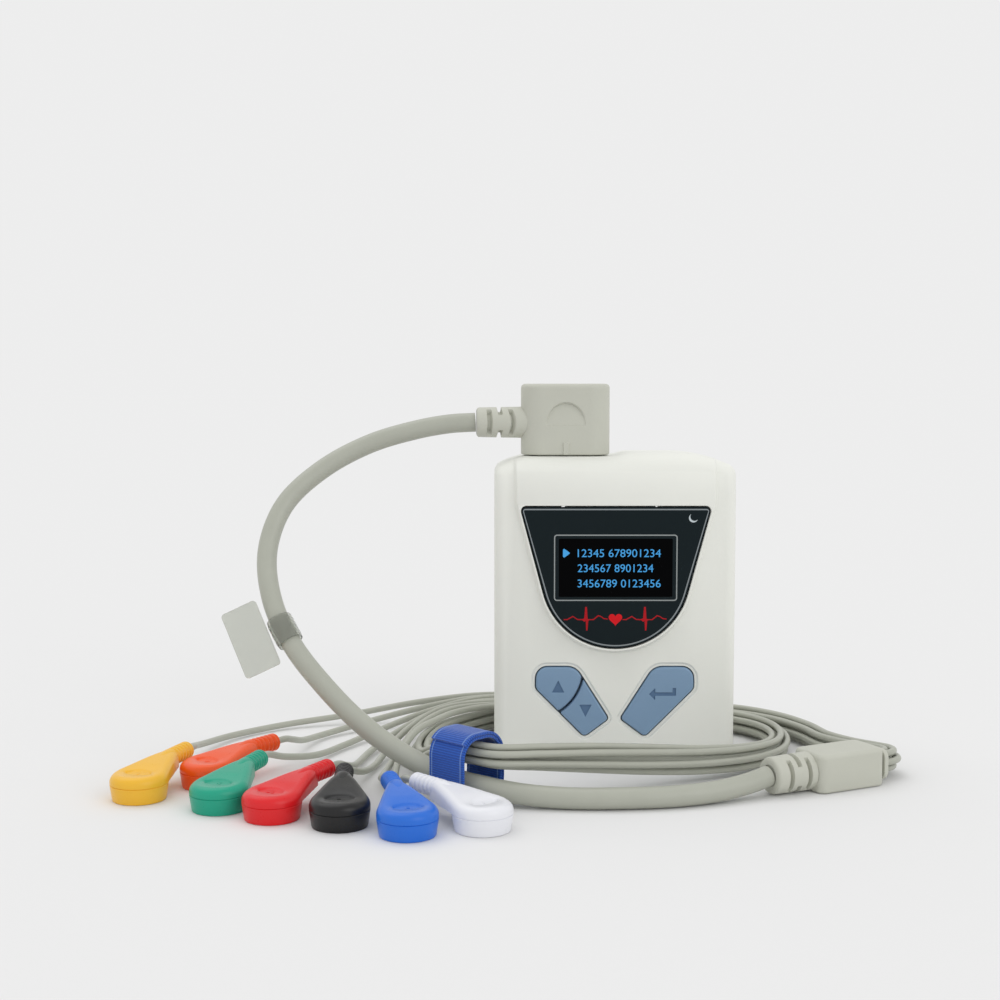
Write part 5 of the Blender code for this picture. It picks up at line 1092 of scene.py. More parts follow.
def make_hood():
    """A stadium tower, hollow from below, with both thumb recesses and the front rib."""
    width = hood_high.x - hood_low.x
    loop = evenly(oblong(width, HOOD_DEPTH, HOOD_DEPTH / 2 - 1e-5, HOOD_MIDDLE, 0.0, 24), 0.00022)
    profile = [(HOOD_DEPTH / 2 - 0.0003, HOOD_LOW + 0.0110), (0.0022, HOOD_LOW + 0.0110),
               (0.0022, HOOD_LOW + 0.0003), (0.0024, HOOD_LOW)]
    profile += [p for p in rounded_profile(HOOD_LOW, HOOD_HIGH, 0.0004, 0.0011, 6, 86) if p[0] < 0.0022]
    profile += [(0.0030, HOOD_HIGH), (HOOD_DEPTH / 2 - 0.0003, HOOD_HIGH)]
    points, faces = tower(loop, profile)
    outside = np.arange(len(points)) >= 4 * len(loop)
    x, y, z = points.T
    face = smooth_step((np.abs(y) - HOOD_DEPTH / 2 + 0.0004) / 0.0003) * outside
    y = y - np.sign(y) * face * hood_push(x, z)
    rib = smooth_step((RIB_WIDTH / 2 - np.abs(x - HOOD_MIDDLE)) / 0.0003)
    rib *= smooth_step((HOOD_LOW + RIB_HEIGHT - z) / 0.0004)
    y = y - RIB_PROUD * rib * face * (points[:, 1] < 0)
    return build("plug_hood_skin", np.column_stack([x, y, z]), faces)


hood = make_hood()
print("hood", len(hood.data.polygons), "faces")

# %% [markdown]
# A strain relief bends because its rings are cut through by short slots, each pair turned a
# quarter from the pair before. The radius is a function of the place along and the angle round.

# %% Strain reliefs
SLOT_HALF_ANGLE = 1.02
SLOT_DEPTH = 0.0013


def relief_radius(along, angle, radius, length, grooves):
    """Radius of a boot: a rounded tip, a slight swell, and slots whose mask is a smooth box
    along the axis times a smooth box round it."""
    tip = 0.0008
    r = radius - 0.0002 + 0.0002 * along / length
    r = r - round_rim(along, tip)
    for i, place in enumerate(grooves):
        box = smooth_step((0.00062 - np.abs(along - place)) / 0.00022)
        turn = (angle - (0.0 if i % 2 == 0 else math.pi / 2)) % math.pi
        off = np.minimum(turn, math.pi - turn)
        r = r - SLOT_DEPTH * box * smooth_step((SLOT_HALF_ANGLE - off) / 0.10)
    return r


def boot_shell(radius, length, grooves, end=None, bore=0.0026, steps=96, rows=110):
    """Boot along +X from a flat ring at its tip to its root, angle 0 facing -Y. A given end
    function moves the root's points along, so that it meets a round hood."""
    along = np.linspace(0.0, length, rows)
    angle = np.linspace(0.0, 2 * math.pi, steps, endpoint=False)
    a, t = np.meshgrid(along, angle, indexing="ij")
    r = relief_radius(a, t, radius, length, grooves)
    tip = np.array([0.0004, 0.0, 0.0])[:, None] + 0 * t[:3]
    tip_r = np.array([bore * 0.98, bore, (bore + radius) / 2])[:, None] + 0 * t[:3]
    shares = np.array([0.75, 0.4, 0.02])[:, None] + 0 * t[:3]
    x = np.vstack([tip, a, np.full((3, steps), length)])
    r = np.vstack([tip_r, r, r[-1] * shares])
    angles = np.vstack([t[:3], t, t[:3]])
    y, z = -r * np.cos(angles), r * np.sin(angles)
    if end is not None:
        x = x * end(y) / length
    points = np.stack([x, y, z], axis=-1).reshape(-1, 3)
    return capped(points, len(x), steps)


BOOT_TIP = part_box("plug_boot")[0].x
BOOT_Z = (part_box("plug_boot")[0].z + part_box("plug_boot")[1].z) / 2


def hood_reach(y):
    """Length from the boot's tip to the hood's round end at a depth y."""
    r = HOOD_DEPTH / 2
    return hood_low.x + r - np.sqrt(np.maximum(r * r - y * y, 0.0)) - BOOT_TIP - 0.00002


points, faces = boot_shell(0.0041, 0.0120, (0.0033, 0.0060, 0.0088), hood_reach)
plug_boot = build("plug_boot_skin", points + (BOOT_TIP, 0.0, BOOT_Z), faces)
print("plug boot", len(plug_boot.data.polygons), "faces")

# %% Yoke
YOKE_FOOT = np.array((0.0339, -0.0482, 0.0047))
YOKE_HEADING = math.radians(27.0)
YOKE_BOOT = 0.0110
YOKE_SIZE = (0.0195, 0.0116, 0.0092)


def along_yoke(points, start=0.0):
    """Turn points from +X to the yoke's heading, their origin a length along it."""
    c, s = math.cos(YOKE_HEADING), math.sin(YOKE_HEADING)
    turn = np.array([[c, s, 0.0], [-s, c, 0.0], [0.0, 0.0, 1.0]])
    return (np.asarray(points) + (start, 0.0, 0.0)) @ turn + (YOKE_FOOT[0], YOKE_FOOT[1], 0.0)


points, faces = boot_shell(0.0046, YOKE_BOOT, (0.0036, 0.0062, 0.0088))
yoke_boot = build("yoke_boot_skin", along_yoke(points + (0.0, 0.0, YOKE_FOOT[2])), faces)
block_start = YOKE_BOOT + 0.00002
block_loop = evenly(oblong(YOKE_SIZE[0], YOKE_SIZE[1], 0.0022, YOKE_SIZE[0] / 2, 0.0, 10), 0.0003)
points, faces = tower(block_loop, rounded_profile(0.0001, 0.0001 + YOKE_SIZE[2], 0.0006, 0.0011))
yoke_block = build("yoke_block_skin", along_yoke(points, block_start), faces)


def make_grommet():
    """A rounded plate across the yoke's end, with a collar round each lead."""
    plate_loop = evenly(oblong(0.0100, 0.0076, 0.0022, 0.0, 0.0047, 10), 0.0003)
    points, faces = tower(plate_loop, rounded_profile(0.0, 0.0014, 0.0002, 0.0005, 5))
    shells = [(points[:, [2, 0, 1]], faces)]
    collar, collar_faces = turned([(0.0, 0.0012), (0.00135, 0.0012), (0.0013, 0.0020), (0.00115, 0.0026),
                                   (0.0009, 0.0027), (0.0, 0.0027)], 24)
    _, _, bundle_z, spread, twist = BUNDLE_ROUTE[0]
    for place in range(len(HEADS)):
        across, up = strand_offset(place, spread, twist)
        shells.append((collar[:, [2, 0, 1]] + (0.0, -across, bundle_z + up), collar_faces))
    points, faces = join_arrays(*shells)
    return build("lead_grommet_skin", along_yoke(points, YOKE_BOOT + YOKE_SIZE[0] + 0.0003), faces)


grommet = make_grommet()
print("yoke", len(yoke_boot.data.polygons), len(yoke_block.data.polygons), len(grommet.data.polygons))

# %% [markdown]
# ## Strap and label
# The strap is a length of woven hook-and-loop tape wound a turn and a half round the cords. Its
# path is the outline of the bundle it holds, and the inset from that outline steps out by one
# thickness where the tape starts to lie on itself. A UV map in millimetres lets the weave
# follow the tape.

# %% UV maps


def give_uv(piece, uv):
    """Copy one (u, v) for each vertex to the piece's face corners."""
    layer = piece.data.uv_layers.new(name="tape")
    corners = np.empty(len(piece.data.loops), int)
    piece.data.loops.foreach_get("vertex_index", corners)
    layer.data.foreach_set("uv", np.asarray(uv, float)[corners].ravel())


# %% Strap
STRAP_CENTRE = np.array((-0.0378, -0.0528, 0.0086))
STRAP_HEADING = math.radians(-44.0)
STRAP_WIDTH = 0.0112
STRAP_SPAN = (0.0146, 0.0170)
STRAP_ROUND = 0.0058
TAPE_THICK = 0.00072
TAPE_TURNS = 1.52
TAPE_START = 0.30
INNER_INSET = 0.00116
OUTER_INSET = 0.00038


def tape_path(steps=420):
    """Places (across, up) of the tape's middle and its outward normals, by share of a turn."""
    loop = evenly(oblong(*STRAP_SPAN, STRAP_ROUND, 0.0, 0.0, 24), 0.0001)
    normal = outline_normals(loop)
    turn = np.linspace(0.0, TAPE_TURNS, steps)
    at = ((turn + TAPE_START) * len(loop)).astype(int) % len(loop)
    inset = INNER_INSET - (INNER_INSET - OUTER_INSET) * smooth_step((turn - 0.88) / 0.10)
    place = loop[at] - normal[at] * inset[:, None]
    for _ in range(6):
        place[1:-1] = (place[:-2] + 2 * place[1:-1] + place[2:]) / 4
    along = unit(np.gradient(place, axis=0))
    return place, np.column_stack([along[:, 1], -along[:, 0]])


def make_strap(columns=20):
    """The tape's section, a flat oblong with eased edges, carried along its path."""
    place, normal = tape_path()
    w, t = STRAP_WIDTH / 2, TAPE_THICK / 2
    across = np.linspace(-w + 0.0002, w - 0.0002, columns)
    section_w = np.concatenate([across, [w, w], across[::-1], [-w, -w]])
    section_t = np.concatenate([np.full(columns, t), [0.6 * t, -0.6 * t], np.full(columns, -t),
                                [-0.6 * t, 0.6 * t]])
    flat = place[:, None] + normal[:, None] * section_t[:, None]
    axis = np.array([math.cos(STRAP_HEADING), math.sin(STRAP_HEADING), 0.0])
    side = np.array([-axis[1], axis[0], 0.0])
    points = STRAP_CENTRE + flat[..., :1] * side + flat[..., 1:] * (0.0, 0.0, 1.0) + section_w[:, None] * axis
    run = run_along(place)
    piece = build("strap_tape", *capped(points.reshape(-1, 3), len(place), len(section_w)), merge=0)
    uv = np.stack(np.broadcast_arrays(section_w[None], run[:, None]), axis=-1).reshape(-1, 2) * PLANE_SCALE
    give_uv(piece, uv)
    return piece, float(run[-1])


strap, strap_length = make_strap()
print("strap", round(strap_length, 4), "m of tape,", len(strap.data.polygons), "faces")

# %% Label
SLEEVE_SHARES = (0.385, 0.425)
SLEEVE_RADIUS = 0.0033
SLEEVE_WALL = 0.0004
FLAG_CENTRE = np.array((-0.0913, -0.0300, 0.0342))
FLAG_AXIS = np.array((0.41, -0.30, -0.87))
FLAG_SIZE = (0.0094, 0.0174)
FLAG_THICK = 0.0008


def make_sleeve():
    """A tube with a wall: the outer ring's rows, then the inner ring's rows back to the start."""
    run = run_along(trunk_line)
    share = run / run[-1]
    line = trunk_line[(share > SLEEVE_SHARES[0]) & (share < SLEEVE_SHARES[1])]
    radius = np.full(len(line), SLEEVE_RADIUS)
    radius[[0, -1]] -= SLEEVE_WALL / 3
    outer, _ = tube_shell(line, radius, 40)
    inner, _ = tube_shell(line, SLEEVE_RADIUS - SLEEVE_WALL, 40)
    rows = np.vstack([outer.reshape(len(line), 40, 3), inner.reshape(len(line), 40, 3)[::-1]])
    return build("label_sleeve", rows.reshape(-1, 3), grid_faces(len(rows), 40, True, True))


def make_flag():
    """Two glued layers of film: one plate with a fold line near its free edge, and swollen
    towards the cord where the layers part."""
    outline = oblong(*FLAG_SIZE, 0.0009, 0.0, 0.0, 6)
    fold = FLAG_SIZE[0] / 2 - 0.0012
    bars = [np.array([(u, -FLAG_SIZE[1] / 2), (u, FLAG_SIZE[1] / 2)])
            for u in (fold - 0.0003, fold - 0.0001, fold + 0.0001, fold + 0.0003, -0.0030, -0.0038)]
    guides = [grown(outline, -d) for d in EASE_INSETS]
    plane, triangles = fill(outline, (), guides, bars)
    y = -FLAG_THICK / 2 + round_rim(depth_inside(plane, outline), EASE)
    y -= 0.00018 * np.exp(-((plane[:, 0] - fold) / 0.00022) ** 2)
    y -= 0.0002 * smooth_step((-0.0024 - plane[:, 0]) / 0.0016)
    points, faces = relief(plane, triangles, y, FLAG_THICK / 2)
    up = FLAG_AXIS / np.linalg.norm(FLAG_AXIS)
    wide = unit(np.array([up[2], 0.0, -up[0]]))
    return build("label_flag", points @ np.array([wide, np.cross(up, wide), up]) + FLAG_CENTRE, faces)


sleeve = make_sleeve()
flag = make_flag()
print("label", len(sleeve.data.polygons), len(flag.data.polygons))

# %% [markdown]
# ## Snap heads
# Each lead ends in a coloured head that presses onto an electrode. One head is modelled at the
# origin with its tail along +X: a turned base, a teardrop cap whose rim is rounded and whose
# middle is dished, and a ribbed tail that climbs to the lead. Then it is turned and moved.

# %% Head shape
HEAD_RADIUS = 0.0068
HEAD_FOOT = 0.0063
HEAD_PARTING = 0.0040
HEAD_TOP = 0.0064
CAP_CLIMB = 0.0019
CAP_ROUND = 0.0018
CAP_REACH = 0.0150
CAP_TIP = 0.0019
RECESS_SIZE = (0.0036, 0.0068)
RECESS_DEPTH = 0.0005
TAIL_RADIUS = 0.0022
TAIL_START = 0.0035
TAIL_START_Z = 0.0044
TAIL_START_RADIUS = 0.0018
TAIL_RISE = 0.0105
RIBS_START = 0.0152
RIBS_END = 0.0222
RIB_PITCH = 0.0014
RIB_DEPTH = 0.00042


def laid(points):
    """Turn a plate that faces -Y to face up."""
    return np.column_stack([points[:, 0], points[:, 2], -points[:, 1]])


def cap_outline():
    """Teardrop: the base's circle and a small circle at the tip, joined by their tangents."""
    swing = math.acos((HEAD_RADIUS - CAP_TIP) / CAP_REACH)
    big = np.linspace(swing, 2 * math.pi - swing, 60)
    small = np.linspace(-swing, swing, 12)
    return evenly(np.vstack([HEAD_RADIUS * np.column_stack([np.cos(big), np.sin(big)]),
                             CAP_TIP * np.column_stack([np.cos(small), np.sin(small)]) + (CAP_REACH, 0.0)]),
                  0.0003)


def make_head_shells():
    """Base, cap and tail as three closed shells that overlap inside."""
    base = turned([(0.0, 0.0031), (0.0050, 0.0031), (0.0050, 0.0), (HEAD_FOOT - 0.0004, 0.0),
                   (HEAD_FOOT - 0.0001, 0.0001), (HEAD_FOOT, 0.0004), (HEAD_RADIUS, HEAD_PARTING - 0.0003),
                   (HEAD_RADIUS - 0.0002, HEAD_PARTING - 0.0001),
                   (HEAD_RADIUS - 0.0002, HEAD_PARTING + 0.0001), (0.0, HEAD_PARTING + 0.0001)], 72)
    outline = cap_outline()
    a = np.linspace(0.0, 2 * math.pi, 48, endpoint=False)
    recess = np.column_stack([RECESS_SIZE[0] / 2 * np.cos(a) - 0.0004, RECESS_SIZE[1] / 2 * np.sin(a)])
    guides = [grown(outline, -d) for d in rim_insets(CAP_ROUND, 7)]
    guides += [grown(recess, d) for d in (0.0003, 0.0, -0.0003, -0.0006)]
    plane, triangles = fill(outline, (), guides)
    top = HEAD_TOP + CAP_CLIMB * smooth_step((plane[:, 0] + 0.0035) / (CAP_REACH + 0.0035))
    top -= 0.02 * plane[:, 1] ** 2 / HEAD_RADIUS
    top -= round_rim(depth_inside(plane, outline), CAP_ROUND)
    top -= RECESS_DEPTH * smooth_step((depth_inside(plane, recess) + 0.0003) / 0.0007)
    cap_points, cap_faces = relief(plane, triangles, -top, -HEAD_PARTING, outline)
    along = np.linspace(TAIL_START, TAIL_LENGTH, 200)
    rise = smooth_step((along - TAIL_START) / TAIL_RISE)
    line = np.column_stack([along, 0 * along, TAIL_START_Z + (TAIL_Z - TAIL_START_Z) * rise])
    wave = 0.5 + 0.5 * np.cos((along - RIBS_START) / RIB_PITCH * 2 * math.pi)
    grooves = smooth_step((along - RIBS_START + 0.0004) / 0.0002)
    grooves *= smooth_step((RIBS_END - along) / 0.0004)
    radius = TAIL_START_RADIUS + (TAIL_RADIUS - TAIL_START_RADIUS) * rise
    radius -= RIB_DEPTH * grooves * wave ** 2
    radius = radius - round_rim(TAIL_LENGTH - along, 0.0007)
    tail = tube_shell(line, radius, 36)
    return join_arrays(base, (laid(cap_points), cap_faces), tail)


head_points, head_faces = make_head_shells()


def on_head(points, head):
    """Turn points by the head's heading and move them to its disc's centre."""
    _, disc_x, disc_y, degrees, _, _ = head
    angle = math.radians(degrees)
    turn = np.array([[math.cos(angle), math.sin(angle), 0.0], [-math.sin(angle), math.cos(angle), 0.0],
                     [0.0, 0.0, 1.0]])
    return np.asarray(points) @ turn + (disc_x, disc_y, 0.0)


heads, numbers = [], []
for i, head in enumerate(HEADS):
    heads.append(build(f"head_{i + 1}_{head[0]}", on_head(head_points, head), head_faces))
    points, faces = digits(str(i + 1), 0.0026, 0.0003)
    middle = points[:, [0, 2]].max(0) / 2
    flat = laid(points - (middle[0], 0.0, middle[1]))
    flat = flat @ np.array([[0.0, -1.0, 0.0], [1.0, 0.0, 0.0], [0.0, 0.0, 1.0]])
    flat = flat + (-0.0004, 0.0, HEAD_TOP + 0.0001 - RECESS_DEPTH)
    numbers.append(build(f"number_{i + 1}", on_head(flat, head), faces))
print("heads", len(heads), "of", len(heads[0].data.polygons), "faces")

# %% [markdown]
# ## Finishes
# Every finish is a small node tree on Object coordinates, which are metres here. One builder
# covers the moulded plastics, rubbers and metals: broad noise shifts the tone a little, fine
# noise varies the roughness, and a bump of a few micrometres gives the grain of the mould.

# %% Material builder


def linear(colour):
    """sRGB bytes to linear light: ((c + 0.055) / 1.055)^2.4 above the straight part."""
    c = np.array(colour, float) / 255
    return tuple(np.where(c <= 0.04045, c / 12.92, ((c + 0.055) / 1.055) ** 2.4)) + (1.0,)


def add(tree, kind, **values):
    """Add a node, set its properties, and its inputs by name."""
    node = tree.nodes.new(kind)
    inputs = values.pop("inputs", {})
    for key, value in values.items():
        setattr(node, key, value)
    for key, value in inputs.items():
        node.inputs[key].default_value = value
    return node


def mixed(tree, share, first, second):
    """A mix of two colours by a share from another node. A colour is fixed or another node's."""
    mix = add(tree, "ShaderNodeMix", data_type="RGBA")
    for name, colour in (("A", first), ("B", second)):
        if isinstance(colour, tuple):
            mix.inputs[name].default_value = colour
        else:
            tree.links.new(colour, mix.inputs[name])
    tree.links.new(share, mix.inputs["Factor"])
    return mix.outputs["Result"]


def ranged(tree, value, low, high, to_low, to_high):
    """A number carried over from one range to another."""
    node = add(tree, "ShaderNodeMapRange", inputs={"From Min": low, "From Max": high, "To Min": to_low,
                                                   "To Max": to_high})
    tree.links.new(value, node.inputs["Value"])
    return node.outputs["Result"]


def finish(name, colour, roughness, tone=0.05, blotch=90.0, grain=2600.0, depth=0.000004, spread=0.06,
           **shader_values):
    """A Principled material with tone, roughness and grain from noise. Other values go to the
    shader's sockets by name."""
    material = bpy.data.materials.new(name)
    material.use_nodes = True
    tree = material.node_tree
    shader = tree.nodes["Principled BSDF"]
    place = add(tree, "ShaderNodeTexCoord").outputs["Object"]
    broad = add(tree, "ShaderNodeTexNoise", inputs={"Scale": blotch, "Detail": 3.0, "Roughness": 0.55})
    fine = add(tree, "ShaderNodeTexNoise", inputs={"Scale": grain, "Detail": 2.0, "Roughness": 0.6})
    for node in (broad, fine):
        tree.links.new(place, node.inputs["Vector"])
    base = linear(colour)
    dark = tuple(c * (1 - tone) for c in base[:3]) + (1.0,)
    light = tuple(min(c * (1 + tone), 1.0) for c in base[:3]) + (1.0,)
    tree.links.new(mixed(tree, broad.outputs["Fac"], dark, light), shader.inputs["Base Color"])
    rough = ranged(tree, fine.outputs["Fac"], 0.25, 0.75, roughness - spread, roughness + spread)
    tree.links.new(rough, shader.inputs["Roughness"])
    bump = add(tree, "ShaderNodeBump", inputs={"Strength": 1.0, "Distance": depth})
    tree.links.new(fine.outputs["Fac"], bump.inputs["Height"])
    tree.links.new(bump.outputs["Normal"], shader.inputs["Normal"])
    for key, value in shader_values.items():
        shader.inputs[key.replace("_", " ")].default_value = value
    return material


def make_silicone():
    """Key silicone with painted shade in the pressed-in signs: darker where the piece's sign share is 1;
    other pieces lack it and stay plain.
    """
    material = finish("key_silicone", (126, 154, 182), 0.42, 0.04, depth=0.000003, Specular_IOR_Level=0.3)
    tree = material.node_tree
    shader = tree.nodes["Principled BSDF"]
    plain = shader.inputs["Base Color"].links[0].from_socket
    sign = add(tree, "ShaderNodeAttribute", attribute_name="sign")
    # Painted shade: the pressed-in sign takes a darker blue.
    pressed = mixed(tree, sign.outputs["Fac"], plain, linear((88, 116, 148)))
    tree.links.new(pressed, shader.inputs["Base Color"])
    return material


# %% Plastics, rubbers and metals
FINISHES = {
    "case_white": finish("case_plastic", (234, 235, 228), 0.42, 0.015, Specular_IOR_Level=0.35),
    "window_dark": finish("smoked_pane", (24, 33, 36), 0.06, 0.06, depth=0.0, spread=0.02,
                          Specular_IOR_Level=0.06),
    "screen": finish("screen_black", (2, 2, 3), 0.08, 0.3, depth=0.0, spread=0.02, Specular_IOR_Level=0.03),
    "clear_lens": finish("light_lens", (200, 205, 205), 0.10, 0.03, depth=0.0, spread=0.02),
    "key_blue": make_silicone(),
    "cable_grey": finish("boot_rubber", (192, 193, 181), 0.48, 0.04, depth=0.000005),
    "cord_grey": finish("cord_jacket", (172, 174, 162), 0.40, 0.05, 220.0, depth=0.000006),
    "steel": finish("steel", (190, 190, 188), 0.25, 0.04, grain=5200.0, depth=0.000001, Metallic=1.0),
    "plug_shell": finish("plug_shell", (200, 200, 192), 0.35, 0.04),
    "gold": finish("gold_contact", (212, 175, 90), 0.22, 0.05, depth=0.000001, Metallic=1.0),
    "board_green": finish("board_green", (20, 84, 48), 0.35, 0.12, 420.0),
    "chip_black": finish("chip_black", (28, 28, 30), 0.55, 0.08),
    "tray_black": finish("tray_black", (34, 34, 36), 0.50, 0.08),
    "silicone": finish("mat_silicone", (150, 168, 186), 0.55, 0.05),
    "seal_rubber": finish("seal_rubber", (52, 52, 54), 0.65, 0.08),
    "cell_can": finish("cell_can", (150, 152, 158), 0.24, 0.05, grain=5200.0, depth=0.000001, Metallic=0.9),
}
HEAD_TONES = {"yellow": (238, 184, 52), "orange": (240, 84, 20), "green": (24, 160, 130),
              "red": (222, 28, 34), "black": (22, 22, 23), "blue": (34, 108, 212), "white": (232, 233, 238)}
for colour_name, tone in HEAD_TONES.items():
    FINISHES["head_" + colour_name] = finish("head_" + colour_name, tone, 0.32, 0.03, depth=0.000003,
                                             Specular_IOR_Level=0.4)
print("finishes", len(FINISHES))

# %% [markdown]
# The prints are inks: flat, matt, and a little uneven. The screen's digits also give light, as
# the real display does. The pale ink is painted highlight: the crescent glint on the indicator
# lamp's lens.

# %% Inks
def ink(name, colour, roughness=0.30, tone=0.05, blotch=90.0, **shader_values):
    """A smooth finish with little gloss of its own."""
    return finish(name, colour, roughness, tone, blotch, depth=0.0, Specular_IOR_Level=0.1, **shader_values)


INKS = {
    "silver": ink("silver_ink", (138, 145, 148)),
    "frame": ink("frame_ink", (150, 155, 155)),
    "red": ink("red_ink", (176, 26, 34), 0.35, 0.10),
    "bright": ink("bright_red_ink", (214, 28, 36), 0.35, 0.06),
    # pale: painted highlight, the crescent glint on the indicator lamp's lens
    "pale": ink("lens_glint_ink", (196, 206, 210), 0.35, 0.05),
    "lit": ink("lit_digits", (52, 110, 160), 0.30, 0.12, 900.0,
               Emission_Color=linear((70, 165, 225)), Emission_Strength=0.55),
}

# %% [markdown]
# Clear film is seen by its edges and its gloss more than by its colour, so most of its light
# passes through. The tape's cloth is woven: one wave across and one along, multiplied, lift the
# threads, and the selvedge is where the distance from the middle is greatest. The cloth's colour
# follows the same height, darker in the hollows and lighter on the raised threads: painted shade
# and highlight.

# %% Film and cloth


def make_film():
    """Light passes through the film, which has a soft gloss."""
    return finish("clear_film", (214, 216, 208), 0.14, 0.04, 300.0, 1500.0, 0.000004, 0.05,
                  Transmission_Weight=0.85, IOR=1.40)


def math_node(tree, operation, first, second=None):
    node = add(tree, "ShaderNodeMath", operation=operation)
    for socket, value in zip(node.inputs, (first, second)):
        if isinstance(value, (int, float)):
            socket.default_value = value
        elif value is not None:
            tree.links.new(value, socket)
    return node.outputs["Value"]


def make_cloth():
    """Woven tape from its UV map in millimetres: ribs across, threads along, painted shade in the hollows and
    painted highlight on the raised threads, and a pale selvedge.
    """
    material = finish("tape_cloth", (30, 84, 178), 0.85, 0.10, 400.0, Sheen_Weight=0.35, Sheen_Roughness=0.4)
    tree = material.node_tree
    shader = tree.nodes["Principled BSDF"]
    uv = add(tree, "ShaderNodeUVMap", uv_map="tape")
    parts = add(tree, "ShaderNodeSeparateXYZ")
    tree.links.new(uv.outputs["UV"], parts.inputs["Vector"])
    ribs = math_node(tree, "SINE", math_node(tree, "MULTIPLY", parts.outputs["Y"], 2 * math.pi / 0.55))
    threads = math_node(tree, "SINE", math_node(tree, "MULTIPLY", parts.outputs["X"], 2 * math.pi / 0.42))
    weave = math_node(tree, "MULTIPLY", ribs, threads)
    height = math_node(tree, "ADD", math_node(tree, "MULTIPLY", weave, 0.35),
                       math_node(tree, "MULTIPLY", ribs, 0.5))
    bump = add(tree, "ShaderNodeBump", inputs={"Strength": 1.0, "Distance": 0.00006})
    tree.links.new(height, bump.inputs["Height"])
    tree.links.new(bump.outputs["Normal"], shader.inputs["Normal"])
    edge = math_node(tree, "ABSOLUTE", math_node(tree, "SUBTRACT", math_node(
        tree, "ABSOLUTE", parts.outputs["X"]), STRAP_WIDTH * PLANE_SCALE / 2 - 0.9))
    line = ranged(tree, edge, 0.08, 0.2, 0.75, 0.0)
    # Painted shade and highlight: the threads' colour darkens in the weave's hollows and lightens on their
    # tops.
    painted_weave_shade = ranged(tree, height, -1.0, 1.0, 0.0, 1.0)
    body = mixed(tree, painted_weave_shade, linear((14, 48, 128)), linear((40, 104, 206)))
    edged = mixed(tree, line, body, linear((132, 164, 214)))
    tree.links.new(edged, shader.inputs["Base Color"])
    return material


FINISHES["clear_film"] = make_film()
FINISHES["strap_blue"] = make_cloth()
print("finishes", len(FINISHES), "inks", len(INKS))

# %% [markdown]
# ## Hand everything to the frame
# A piece that stands for a node hides it and takes its slot. Each piece rides on the body that
# carries the real part, so the keys press, the plug pulls out and the door swings.

# %% Ride, replace and paint


def dress(piece, body, slot, nodes=(), material=None):
    """Ride on a body, unless it is blended, stand for nodes and take a finish."""
    if body:
        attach(piece, body)
    if nodes:
        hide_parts(*nodes)
    piece.data.materials.clear()
    piece.data.materials.append(material or FINISHES[slot])


for name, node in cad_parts.items():
    for place in node.material_slots:
        base_name = place.material.name.split(".")[0]
        if base_name in FINISHES:
            place.material = FINISHES[base_name]
        else:
            print("no finish for", name, place.material.name)

dress(trunk, None, "cord_grey", ["trunk_cord"])
for i, (lead, head) in enumerate(zip(leads, HEADS)):
    dress(lead, ROOT, "cord_grey", [f"lead_{i + 1}_{head[0]}"])
    dress(heads[i], ROOT, "head_" + head[0], [f"snap_head_{i + 1}_{head[0]}"])
    dress(numbers[i], ROOT, "head_" + head[0])
dress(front_shell, ROOT, "case_white", ["front_shell"])
dress(rear_shell, ROOT, "case_white", ["rear_shell"])
dress(pane, ROOT, "window_dark", ["display_window"])
# The pale crescent among these prints is a painted highlight.
for piece, kind in ((silver, "silver"), (screen_frame, "frame"), (heart_mark, "bright"), (lens_glint, "pale"),
                    (pulses[0], "red"), (pulses[1], "red"), (screen_rows, "lit")):
    dress(piece, ROOT, "window_dark", (), INKS[kind])
dress(screen_glass, ROOT, "screen")
for body, key in keys.items():
    dress(key, body, "key_blue", [body])
dress(door, "battery_door", "case_white", ["battery_door"])
for i, screw in enumerate(screws):
    dress(screw, ROOT, "steel", [f"case_screw_{i + 1}"])
dress(hood, "plug", "cable_grey", ["plug_hood"])
dress(plug_boot, "plug", "cable_grey", ["plug_boot"])
dress(yoke_boot, ROOT, "cable_grey", ["yoke_boot"])
dress(yoke_block, ROOT, "cable_grey", ["yoke_block"])
dress(grommet, ROOT, "cable_grey", ["lead_grommet"])
dress(strap, ROOT, "strap_blue", ["cable_strap"])
dress(sleeve, ROOT, "clear_film", ["tag_sleeve"])
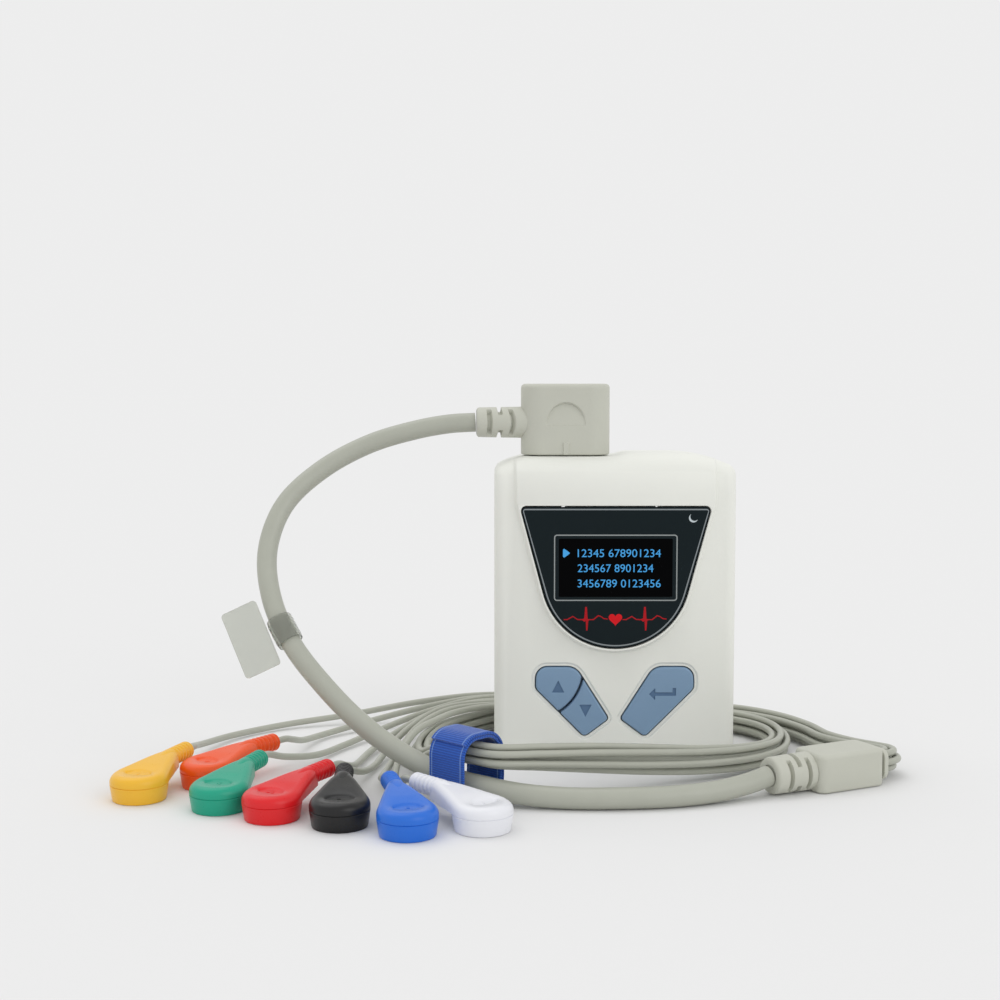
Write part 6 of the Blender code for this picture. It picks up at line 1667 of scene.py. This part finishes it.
dress(flag, ROOT, "clear_film", ["tag_flag"])

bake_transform(trunk)

# %% [markdown]
# ## Floor and light
# The photograph has no horizon: the backdrop is one even pale grey. Here the sky has that tone,
# and the floor's own tone is chosen so that the sky and two broad suns light it to the same
# value. The shadows are then soft and weak, as under a studio's light tent.

# %% Stage
SKY_TONE = 0.85
SUNS = [("high_sun", (-0.30, 0.30, 0.90), 0.50, 0.9), ("front_sun", (0.62, -0.62, 0.48), 0.42, 0.7)]


def floor_tone():
    """The tone that makes the floor as light as the sky: sky / (sky + the suns' share), where a
    sun's share is its power times the cosine of its slant, over pi."""
    share = sum(power * unit(np.array(toward))[2] / math.pi for _, toward, power, _ in SUNS)
    return SKY_TONE / (SKY_TONE + share)


def make_floor():
    """A wide flat square."""
    corners = np.array([(-6.0, -6.0, 0.0), (6.0, -6.0, 0.0), (6.0, 6.0, 0.0), (-6.0, 6.0, 0.0)])
    floor = build("floor", corners, [[0, 1, 2, 3]], recalc=False)
    tone = floor_tone()
    material = bpy.data.materials.new("floor_paper")
    material.use_nodes = True
    shader = material.node_tree.nodes["Principled BSDF"]
    shader.inputs["Base Color"].default_value = (tone, tone, tone, 1.0)
    shader.inputs["Roughness"].default_value = 1.0
    shader.inputs["Specular IOR Level"].default_value = 0.0
    floor.data.materials.append(material)


def make_sun(name, toward, power, width):
    """A broad sun that shines from a direction."""
    data = bpy.data.lights.new(name, "SUN")
    data.energy = power
    data.angle = width
    light = bpy.data.objects.new(name, data)
    light.rotation_euler = Vector(toward).to_track_quat("Z", "Y").to_euler()
    bpy.context.scene.collection.objects.link(light)


make_floor()
for name, toward, power, width in SUNS:
    make_sun(name, toward, power, width)
world = bpy.data.worlds.new("pale_sky")
world.use_nodes = True
world.node_tree.nodes["Background"].inputs["Color"].default_value = (SKY_TONE, SKY_TONE, SKY_TONE, 1.0)
world.node_tree.nodes["Background"].inputs["Strength"].default_value = 1.0
bpy.context.scene.world = world
bpy.context.scene.view_settings.view_transform = "Standard"
